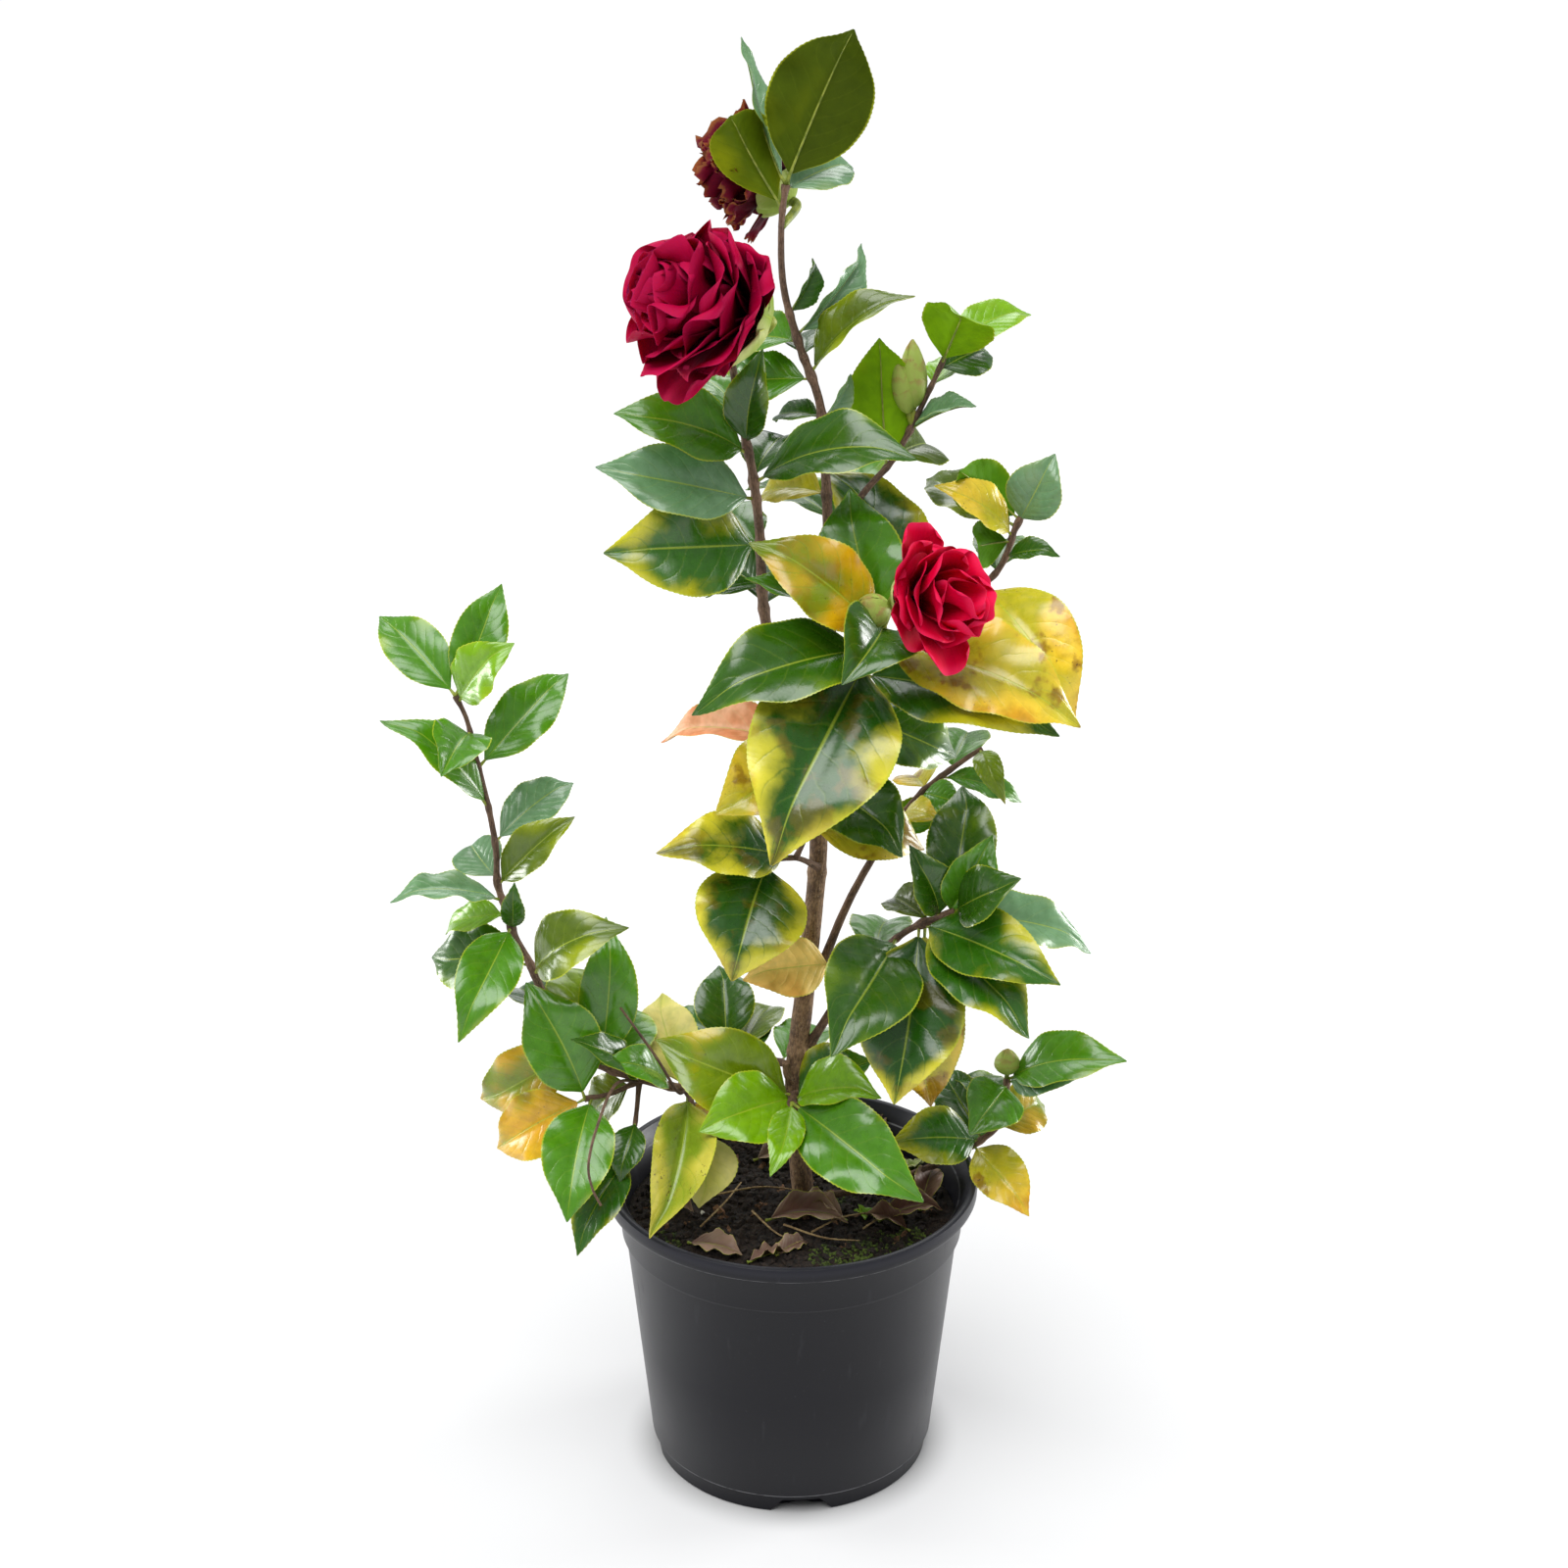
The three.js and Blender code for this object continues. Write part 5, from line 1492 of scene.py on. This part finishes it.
def bud_finish():
    finish = Finish("bud_scales", Roughness=0.5, Specular_IOR_Level=0.3)
    place = finish.place()
    along, _ = finish.blade()
    clouds = finish.noise(place, 4)
    colour = finish.mix((along + clouds - 0.5).ramp(0.7, 1.2), paint("9cae50"), paint("967844"))
    finish.set("Base Color", finish.mix(clouds.ramp(0.5, 0.8) * 0.4, colour, paint("b4ac64")))
    finish.bump(finish.noise(place, 0.6), 0.2)
    return finish.material


BUD_SCALES = bud_finish()
print("buds:", len(BUDS), "in the finish", BUD_SCALES.name)

# %% [markdown]
# The egg is blunt at the foot and drawn in at the tip. A scale follows it a little way outside, and is
# as wide as the egg needs.


# %% Make the buds
def egg(rise):
    """The egg's radius at a share of its height, as a share of its greatest radius."""
    return np.sin(math.pi * rise**0.8) ** 0.7


def scale_grid(foot, axes, turn, reach, length, radius):
    """A sheet over the egg: from its foot up to `reach`, narrowing to a blunt tip."""
    along, side, other = axes
    rise = np.linspace(0.02, reach, SCALE_ROWS)[:, None]
    spread = 1.35 * np.sqrt(np.clip(1 - (rise / (reach * 1.03)) ** 3, 0.01, 1))
    part = np.linspace(-1, 1, SCALE_COLUMNS)[None]
    round_ = turn + spread * part
    out = radius * egg(rise) + 0 * part
    ring = np.cos(round_)[..., None] * side + np.sin(round_)[..., None] * other
    return foot + (out[..., None] * ring + (rise * length + 0 * part)[..., None] * along) * MM


def add_bud(sheath, limb, at, heading, pitch, stalk, length, radius):
    along, side, other = axes_of(heading, pitch, 20)
    start = limb.place(at)
    foot = start + along * stalk * MM
    line = [start, (start + foot) / 2, foot + along * MM]
    tube(sheath, line, np.array(BUD_STALK_RADII) * MM, 8, STALK)
    rise = np.linspace(0.03, 0.99, 12)
    core = CORE * radius * egg(rise)
    tube(sheath, foot + np.outer(rise * length * MM, along), core * MM, 16, BUD_SCALES)
    thickness = np.full((SCALE_ROWS, SCALE_COLUMNS, 1), SCALE_THICKNESS * MM)
    for number, (count, reach, swell) in enumerate(BUD_SCALE_RINGS):
        for index in range(count):
            turn = (index + number * 0.5) * 2 * math.pi / count
            grid = scale_grid(foot, (along, side, other), turn, reach, length, radius * swell)
            sheet(sheath, grid, thickness, BUD_SCALES, BUD_SCALES)


buds = Sheath()
for limb_name, *values in BUDS:
    add_bud(buds, LIMBS[limb_name], *values)
piece("leaf_and_flower_buds", buds.mesh("buds"))

# %% [markdown]
# ## The pot
# A nursery pot is one thin moulding: a foot with notches that let water out, a wall that widens up to a
# shoulder, and a stiff collar under a rolled rim. Its section is turned round the axis in fine steps,
# and Geometry Nodes then cut the notches and the drain slots with copies of one cutter set in a ring.

# %% Pot section
POT_SECTION = [
    # radius, height, up the outside, over the rim and down the inside
    (0, 0), (46, 0), (48, 4), (62, 4), (63.2, 0.2), (64, 0), (69.8, 0), (70.5, 0.6), (71.3, 9.2),
    (71.7, 10), (72.9, 10.4), (73.3, 11.2), (79.1, 68), (85, 125.2), (85.4, 126.4), (86.8, 127.2),
    (87.1, 128), (87.9, 146.4), (88.5, 147.3), (93.4, 147.8), (94.4, 148.3), (94.9, 149.4), (95, 151),
    (94.9, 153.6), (94.4, 154.9), (93.2, 155.5), (92, 155.5), (91, 155), (90.2, 153.6), (85.8, 148),
    (82.8, 124), (76.9, 67), (71, 10.7), (69, 8), (64, 7), (44, 7), (42, 3), (0, 3),
]
POT_SEGMENTS = 160
FOOT_RADIUS = 70.4
NOTCH_COUNT = 4
NOTCH_HEIGHT = 7.5
NOTCH_HALF = 16                          # half the notch's width at the ground
NOTCH_SLOPE = 6.5                        # how much of that each side leans in
NOTCH_DEPTH = (7.5, 12)                  # how far its cutter reaches inside and outside the foot's radius
FIRST_NOTCH = -86                        # degrees round from the right
DRAIN_COUNT = 8
DRAIN_RADIUS = 54
DRAIN_SLOT = (13, 5)                     # its length round the pot, and its width
DRAIN_CUT_TOP = 9
SHARP_FROM = 32                          # degrees between two faces, from which their edge is sharp


def close(made, mesh):
    """Writes a bmesh to a mesh with all its faces turned outwards, and frees it."""
    bmesh.ops.recalc_face_normals(made, faces=made.faces)
    made.to_mesh(mesh)
    made.free()
    return mesh


def lathe(section, segments):
    """A mesh of a closed section turned round the upright axis, with one corner at each pole."""
    made = bmesh.new()
    angles = circle_angles(segments)
    rings = []
    for radius, height in section:
        if radius == 0:
            rings.append([made.verts.new((0, 0, height * MM))] * segments)
        else:
            turned = [(radius * math.cos(a) * MM, radius * math.sin(a) * MM, height * MM) for a in angles]
            rings.append([made.verts.new(place) for place in turned])
    for low, high in zip(rings, rings[1:]):
        for i in range(segments):
            j = (i + 1) % segments
            corners = [low[i], low[j], high[j], high[i]]
            made.faces.new(list(dict.fromkeys(corners)))
    return close(made, bpy.data.meshes.new("turned"))


pot = lathe(POT_SECTION, POT_SEGMENTS)
print("the turned pot has", len(pot.polygons), "faces")

# %% [markdown]
# The cutters are plain prisms that stand where the first notch is, and are copied by turning them about
# the axis. They reach past the wall on both sides, so that no thin skin is left.


# %% Cutters for the pot
def prism(outline, near, far):
    """A closed prism: an outline of (across, height), drawn out from `near` to `far` along x."""
    corners = [(depth * MM, across * MM, height * MM) for depth in (near, far) for across, height in outline]
    count = len(outline)
    faces = [list(range(count)), list(range(2 * count - 1, count - 1, -1))]
    faces += [[(i + 1) % count, i, i + count, (i + 1) % count + count] for i in range(count)]
    mesh = bpy.data.meshes.new("cutter")
    mesh.from_pydata(corners, [], faces)
    made = bmesh.new()
    made.from_mesh(mesh)
    return link(bpy.data.objects.new("cutter", close(made, mesh)))


def cutting_tree():
    """Cuts a ring of turned copies of the cutter out of the mesh."""
    tree = Grower("ring of cuts", Cutter="Object", Count="Int", First="Float", Plastic="Material")
    spots = tree.node("GeometryNodePoints", {}, {"Count": tree.input("Count"), "Position": (0, 0, 0)})
    share = tree.node("GeometryNodeInputIndex") * (2 * math.pi)
    turn = share.maths("DIVIDE", share, tree.input("Count")) + tree.input("First")
    cutter = tree.node("GeometryNodeObjectInfo", {}, {"Object": tree.input("Cutter")}, "Geometry")
    ring = tree.node("GeometryNodeInstanceOnPoints", {}, {
        "Points": spots, "Instance": cutter,
        "Rotation": tree.node("ShaderNodeCombineXYZ", {}, {"Z": turn}),
    })
    ring = tree.node("GeometryNodeRealizeInstances", {}, {"Geometry": ring})
    cut = tree.node("GeometryNodeMeshBoolean", {"operation": "DIFFERENCE", "solver": "EXACT"}, {
        "Mesh 1": tree.input("Geometry"), "Mesh 2": ring,
    })
    tree.end(cut, tree.input("Plastic"))
    return tree


CUTS = cutting_tree()
print("cutting tree:", len(CUTS.tree.nodes), "nodes")

# %% [markdown]
# The black plastic is satin and a little scuffed. Pale lines are painted along its sharp edges, under
# the lip, at the foot of the collar and at the hem, broken up by noise: painted highlights. The rolled
# rim is painted a little lighter, a painted highlight where it sees the most light.

# %% Pot finish
HIGHLIGHTED_EDGES = (10.6, 126.8, 148.1)        # heights of the hem, the collar's foot and the lip's underside: painted highlights
EDGE_HIGHLIGHT_WIDTH = (0.2, 0.55)                 # how far from the edge the painted highlight is full, and where it ends
RIM_HIGHLIGHT_HEIGHTS = (149, 153)                   # heights between which the black turns lighter: a painted highlight
BLACKS = (paint("09090f"), paint("0f0f17"))
RIM_HIGHLIGHT_BLACK = paint("202027")
DUST = paint("55555a")
EDGE_HIGHLIGHT = paint("8c8c90")


def pot_finish():
    finish = Finish("nursery_pot_plastic", Specular_IOR_Level=0.27)
    place = finish.place()
    height = finish.node("ShaderNodeSeparateXYZ", {}, {"Vector": place}, "Z")
    clouds = finish.noise(place, 45, detail=4)
    scuffs = finish.noise(place, 5, detail=4, stretch=(1, 1, 0.15)).ramp(0.62, 0.78)
    dust = finish.noise(place, 1.1, detail=2).ramp(0.7, 0.78)
    # Pale lines along the sharp edges, broken up by noise: painted highlights.
    patchy = finish.noise(place, 6, detail=4).ramp(0.3, 0.55)
    highlight_start, highlight_end = (far * MM for far in EDGE_HIGHLIGHT_WIDTH)
    edges = [1 - abs(height - edge * MM).ramp(highlight_start, highlight_end) for edge in HIGHLIGHTED_EDGES]
    edge_highlights = (edges[0] + edges[1] + edges[2]) * patchy
    colour = finish.mix(clouds, *BLACKS)
    colour = finish.mix(scuffs * 0.12 + dust * 0.2, colour, DUST)
    # The rim painted lighter: a painted highlight.
    colour = finish.mix(height.ramp(*(level * MM for level in RIM_HIGHLIGHT_HEIGHTS)), colour, RIM_HIGHLIGHT_BLACK)
    finish.set("Base Color", finish.mix(edge_highlights * 0.6, colour, EDGE_HIGHLIGHT))
    finish.set("Roughness", 0.3 + clouds * 0.1 + scuffs * 0.12)
    finish.bump(finish.noise(place, 0.5, detail=2) * 0.3 + clouds, 0.12)
    return finish.material


PLASTIC = pot_finish()
print("finish:", PLASTIC.name)

# %% [markdown]
# The notches lean in towards their tops, and the drain slots go through the floor of the pot. After the
# cuts the faces are shaded smoothly, but for the sharp edges.


# %% Make the pot
def cut_ring(mesh, outline, near, far, count):
    """The mesh with a ring of `count` cuts, the first where the first notch is."""
    cutter = prism(outline, near, far)
    source = bpy.data.objects.new("pot", mesh)
    first = math.radians(FIRST_NOTCH)
    cut = CUTS.grow(source, Cutter=cutter, Count=count, First=first, Plastic=PLASTIC)
    bpy.data.objects.remove(cutter)
    return cut


def smoothed(mesh):
    for polygon in mesh.polygons:
        polygon.use_smooth = True
    return mesh


low, high = NOTCH_HALF, NOTCH_HALF - NOTCH_SLOPE
notch = [(-low, -1), (low, -1), (low, 0), (high, NOTCH_HEIGHT), (-high, NOTCH_HEIGHT), (-low, 0)]
pot = cut_ring(pot, notch, FOOT_RADIUS - NOTCH_DEPTH[0], FOOT_RADIUS + NOTCH_DEPTH[1], NOTCH_COUNT)
half = DRAIN_SLOT[0] / 2
slot = [(-half, -1), (half, -1), (half, DRAIN_CUT_TOP), (-half, DRAIN_CUT_TOP)]
near = DRAIN_RADIUS - DRAIN_SLOT[1] / 2
pot = smoothed(cut_ring(pot, slot, near, near + DRAIN_SLOT[1], DRAIN_COUNT))
pot.set_sharp_from_angle(angle=math.radians(SHARP_FROM))
piece("nursery_pot_moulding", pot, ["nursery_pot"])

# %% [markdown]
# ## The compost
# The pot is filled with dark peat. It is one closed body inside the wall, whose top is uneven and rises
# towards the stem. Each corner of the top is raised by a few waves that have no common length.

# %% Compost body
COMPOST_TOP = 136.7
COMPOST_DROP = 2.5                       # lower at the wall than in the middle
MOUND = (7, -8)                          # where the stem's foot is, and how high it stands there
MOUND_HEIGHT = 2.2
COMPOST_RINGS = 44
COMPOST_SEGMENTS = 120
WALL_INSIDE = [(7.3, 64), (10.9, 70.6), (124, 82.6), (COMPOST_TOP - COMPOST_DROP, 84)]


def compost_height(x, y):
    """The height of the compost's top, in millimetres."""
    far = math.hypot(x, y)
    slope = COMPOST_DROP * float(smooth(40, 84, far))
    waves = math.sin(x * 0.11 + 1) * math.cos(y * 0.13) + 0.6 * math.sin(x * 0.31 + y * 0.23)
    lumps = 0.35 * math.sin(x * 0.83 + 2) * math.sin(y * 0.77) + 0.25 * math.sin(x * 1.6 - y * 1.9)
    mound = MOUND_HEIGHT * math.exp(-(((x - MOUND[0]) ** 2 + (y - MOUND[1]) ** 2) / 500))
    return COMPOST_TOP - slope + (waves + lumps) * 1.1 * float(1 - smooth(70, 84, far)) + mound - 0.6


def ring_places(radius):
    return [(radius * math.cos(a), radius * math.sin(a)) for a in circle_angles(COMPOST_SEGMENTS)]


def make_compost():
    """The body: rings out over the top, then down along the wall, and a corner at each pole."""
    made = bmesh.new()

    def corner(x, y, z):
        return made.verts.new((x * MM, y * MM, z * MM))

    middle = corner(0, 0, compost_height(0, 0))
    rings = []
    for number in range(1, COMPOST_RINGS + 1):
        far = WALL_INSIDE[-1][1] * number / COMPOST_RINGS
        rings.append([corner(x, y, compost_height(x, y)) for x, y in ring_places(far)])
    for height, radius in reversed(WALL_INSIDE[:-1]):
        rings.append([corner(x, y, height) for x, y in ring_places(radius)])
    bottom = corner(0, 0, WALL_INSIDE[0][0])
    for i in range(COMPOST_SEGMENTS):
        j = (i + 1) % COMPOST_SEGMENTS
        made.faces.new((middle, rings[0][i], rings[0][j]))
        made.faces.new((bottom, rings[-1][j], rings[-1][i]))
        for near, far in zip(rings, rings[1:]):
            made.faces.new((near[i], far[i], far[j], near[j]))
    return close(made, bpy.data.meshes.new("compost"))


compost = smoothed(make_compost())
print("the compost has", len(compost.polygons), "faces")

# %% [markdown]
# Peat, bark chips, perlite, straw and moss differ in their two colours and in the size of their crumbs,
# so one rule makes the finish of each.


# %% Compost finishes
def compost_finish(name, low, high, size):
    finish = Finish(name, Roughness=0.92)
    place = finish.place()
    crumbs = finish.noise(place, size, detail=5)
    clouds = finish.noise(place, 14)
    colour = finish.mix((crumbs * 0.8 + clouds * 0.4).ramp(0.4, 0.85), paint(low), paint(high))
    finish.set("Base Color", colour)
    finish.bump(crumbs, 1.2)
    return finish.material


PEAT = compost_finish("peat", "0c0705", "32241a", 2)
BARK_CHIPS = compost_finish("bark_chips", "3a2416", "8a6444", 1.5)
PERLITE = compost_finish("perlite", "b9b5a8", "ece9df", 1.2)
STRAW = compost_finish("straw", "7a6040", "b89e70", 2)
MOSS = compost_finish("moss", "141e06", "62742a", 2.5)
compost.materials.append(PEAT)
piece("compost_fill", compost, ["potting_soil"])

# %% [markdown]
# ## Litter on the compost
# Peat is crumbly, with chips of bark, white grains of perlite and tufts of moss on it. One tree
# scatters all of these: copies of a round lump are dropped at random on the top, turned and scaled at
# random, and roughened by noise.


# %% Litter tree
LUMP_NOISE = 700.0                       # to the metre
LUMP_RELIEF = 1.4                        # as a share of the lump's size
ANY_TURN = ((-0.5, -0.5, 0), (0.5, 0.5, 6.28))
ANY_SIZE = ((0.35, 0.35, 0.35), (1, 1, 1))


def litter_tree():
    tree = Grower(
        "litter on the compost", Number="Float", Size="Float", Flat="Vector", Seed="Int", Litter="Material",
    )
    lump = tree.node("GeometryNodeMeshIcoSphere", {}, {"Radius": 1.0, "Subdivisions": 1}, "Mesh")
    spots = tree.node("GeometryNodeDistributePointsOnFaces", {}, {
        "Mesh": tree.input("Geometry"), "Density": tree.input("Number"), "Seed": tree.input("Seed"),
    }, "Points")
    turns, sizes = (
        tree.node("FunctionNodeRandomValue", {"data_type": "FLOAT_VECTOR"}, {
            0: least, 1: most, "Seed": tree.input("Seed"),
        })
        for least, most in (ANY_TURN, ANY_SIZE)
    )
    shape = tree.node("ShaderNodeVectorMath", {"operation": "MULTIPLY"}, {0: sizes, 1: tree.input("Flat")})
    scale = tree.node("ShaderNodeVectorMath", {"operation": "SCALE"}, {
        "Vector": shape, "Scale": tree.input("Size"),
    })
    copies = tree.node("GeometryNodeInstanceOnPoints", {}, {
        "Points": spots, "Instance": lump, "Rotation": turns, "Scale": scale,
    })
    real = tree.node("GeometryNodeRealizeInstances", {}, {"Geometry": copies})
    place = tree.node("GeometryNodeInputPosition")
    rough = tree.node("ShaderNodeTexNoise", {}, {"Vector": place, "Scale": LUMP_NOISE, "Detail": 2})
    lumps = push_out(tree, real, (rough - 0.5) * tree.input("Size") * LUMP_RELIEF)
    tree.end(lumps, tree.input("Litter"))
    return tree


LITTER_TREE = litter_tree()
print("litter tree:", len(LITTER_TREE.tree.nodes), "nodes")

# %% [markdown]
# The tree needs something to drop the lumps on: a copy of the compost's top, cut down to the circles
# where that litter lies. Crumbs, chips and perlite lie all over it, and moss grows only where it is damp.

# %% Scatter the litter
ABOVE_GROUND = 120                       # only the top of the compost is higher


def top_patch(spots):
    """The part of the compost's top that lies inside these circles of (x, y, radius)."""

    def inside(place):
        return any(math.hypot(place.x / MM - x, place.y / MM - y) < radius for x, y, radius in spots)

    patch = bmesh.new()
    patch.from_mesh(compost)
    middles = {face: face.calc_center_median() for face in patch.faces}
    rest = [face for face, middle in middles.items() if middle.z <= ABOVE_GROUND * MM or not inside(middle)]
    bmesh.ops.delete(patch, geom=rest, context="FACES")
    mesh = bpy.data.meshes.new("top")
    patch.to_mesh(mesh)
    patch.free()
    return bpy.data.objects.new("top", mesh)


WHOLE_TOP = [(0, 0, 81)]
MOSSY = [
    (19, -50, 11), (34, -47, 12), (48, -40, 14), (62, -28, 10), (-66, -32, 11), (26, 8, 7), (50, 44, 9),
]
LITTER = {
    # name: (number per square metre, size in mm, shape, seed, finish, where)
    "peat_crumbs": (60000, 3.2, (1, 1, 0.85), 1, PEAT, WHOLE_TOP),
    "bark_litter": (2600, 5.2, (1.2, 0.55, 0.35), 2, BARK_CHIPS, WHOLE_TOP),
    "perlite_grains": (350, 1.8, (1, 1, 0.9), 3, PERLITE, WHOLE_TOP),
    "moss_tufts": (300000, 1.5, (1, 1, 1), 5, MOSS, MOSSY),
}
for name, (number, size, flat, seed, finish, where) in LITTER.items():
    litter = LITTER_TREE.grow(
        top_patch(where), Number=float(number), Size=size * MM, Flat=flat, Seed=seed, Litter=finish,
    )
    piece(name, litter)

# %% [markdown]
# Old leaves and flakes of bark lie on the compost, curled as they dried, and a few straws among them.
# The leaves are made as those on the plant are. Two small weeds have come up near the back and the
# stem: each is a ring of tiny leaves on one root.

# %% Dead leaves, straws and weeds
FALLEN = [
    # x, y, lift, then heading, pitch, length, roll, width, tint, arch, fold
    (-13, -19, 2, -5, 4, 42, 25, 24, "dead", 14, 52), (28, -20, 2, 165, 12, 30, -20, 16, "dead", 20, 55),
    (44, -18, 2, 15, 8, 34, 30, 22, "dead", 16, 58), (66, -6, 2, 70, 30, 26, 10, 22, "dead", 24, 50),
    (60, -24, 2, 160, 10, 26, -25, 18, "dead", 18, 60), (-52, -38, 2, -25, 3, 30, 8, 17, "dead", 5, 22),
    (-22, -55, 2, 20, 6, 24, -12, 13, "dead", 6, 26), (-8, -50, 2, 35, 8, 20, 15, 12, "dead", 8, 30),
    (46, 66, 1, 60, 62, 20, 0, 8, "dead", 4, 20), (-62, 18, 2, -70, 8, 28, 20, 16, "dead", 14, 40),
    (-20, 48, 2, 10, 5, 34, 20, 20, "dead", 12, 36), (14, 58, 2, 200, 6, 30, -15, 18, "dead", 14, 45),
]
STRAWS = [
    # places along the straw: x, y, height over the compost
    [(-20, -14, 5), (-8, -32, 3), (5, -46, 4)], [(-38, 4, 4), (-16, 8, 7), (4, 9, 3)],
    [(10, -34, 4), (24, -24, 5), (40, -13, 4)], [(-4, -28, 6), (16, -40, 4), (34, -42, 5)],
    [(36, -30, 4), (52, -12, 7), (58, 8, 4)], [(-46, -24, 4), (-34, -6, 6), (-26, 16, 4)],
    [(-60, -12, 4), (-48, 14, 6), (-40, 36, 4)], [(12, 34, 4), (34, 40, 6), (56, 34, 4)],
]
STRAW_RADII = (0.6, 0.35)
WEEDS = [
    # x, y, how many leaves, their length, tint
    (64, 40, 9, 10, "sepal"), (37, -13, 5, 8, "young"),
]
WEED_TURN = 137.5                        # degrees from one leaf to the next
WEED_PITCH = (15, 60)


def ground(x, y, lift):
    """A place `lift` millimetres over the compost."""
    return np.array([x, y, compost_height(x, y) + lift]) * MM


draw = random.Random(31)
dead_leaves = Sheath()
for x, y, lift, *shape in FALLEN:
    add_leaf(dead_leaves, ground(x, y, lift), [0, *shape], draw)
piece("dead_leaves", dead_leaves.mesh("dead_leaves"))

straws = Sheath()
for places in STRAWS:
    line = catmull_rom([ground(*place) for place in places], 6)
    tube(straws, line, np.linspace(*STRAW_RADII, len(line)) * MM, 6, STRAW)
piece("dry_straws", straws.mesh("dry_straws"))

weeds = Sheath()
for x, y, count, length, tint in WEEDS:
    for index in range(count):
        pitch = draw.uniform(*WEED_PITCH)
        shape = [length * draw.uniform(0.7, 1), 0, length * 0.45, tint]
        add_leaf(weeds, ground(x, y, 1), [0, index * WEED_TURN, pitch, *shape], draw)
piece("weed_seedlings", weeds.mesh("weed_seedlings"))

# %% [markdown]
# ## Size
# The finished plant fills nearly the same box as the model. The model's box is written down.

# %% Size
print("model", [round(c, 3) for c in solid_box[1] - solid_box[0]])
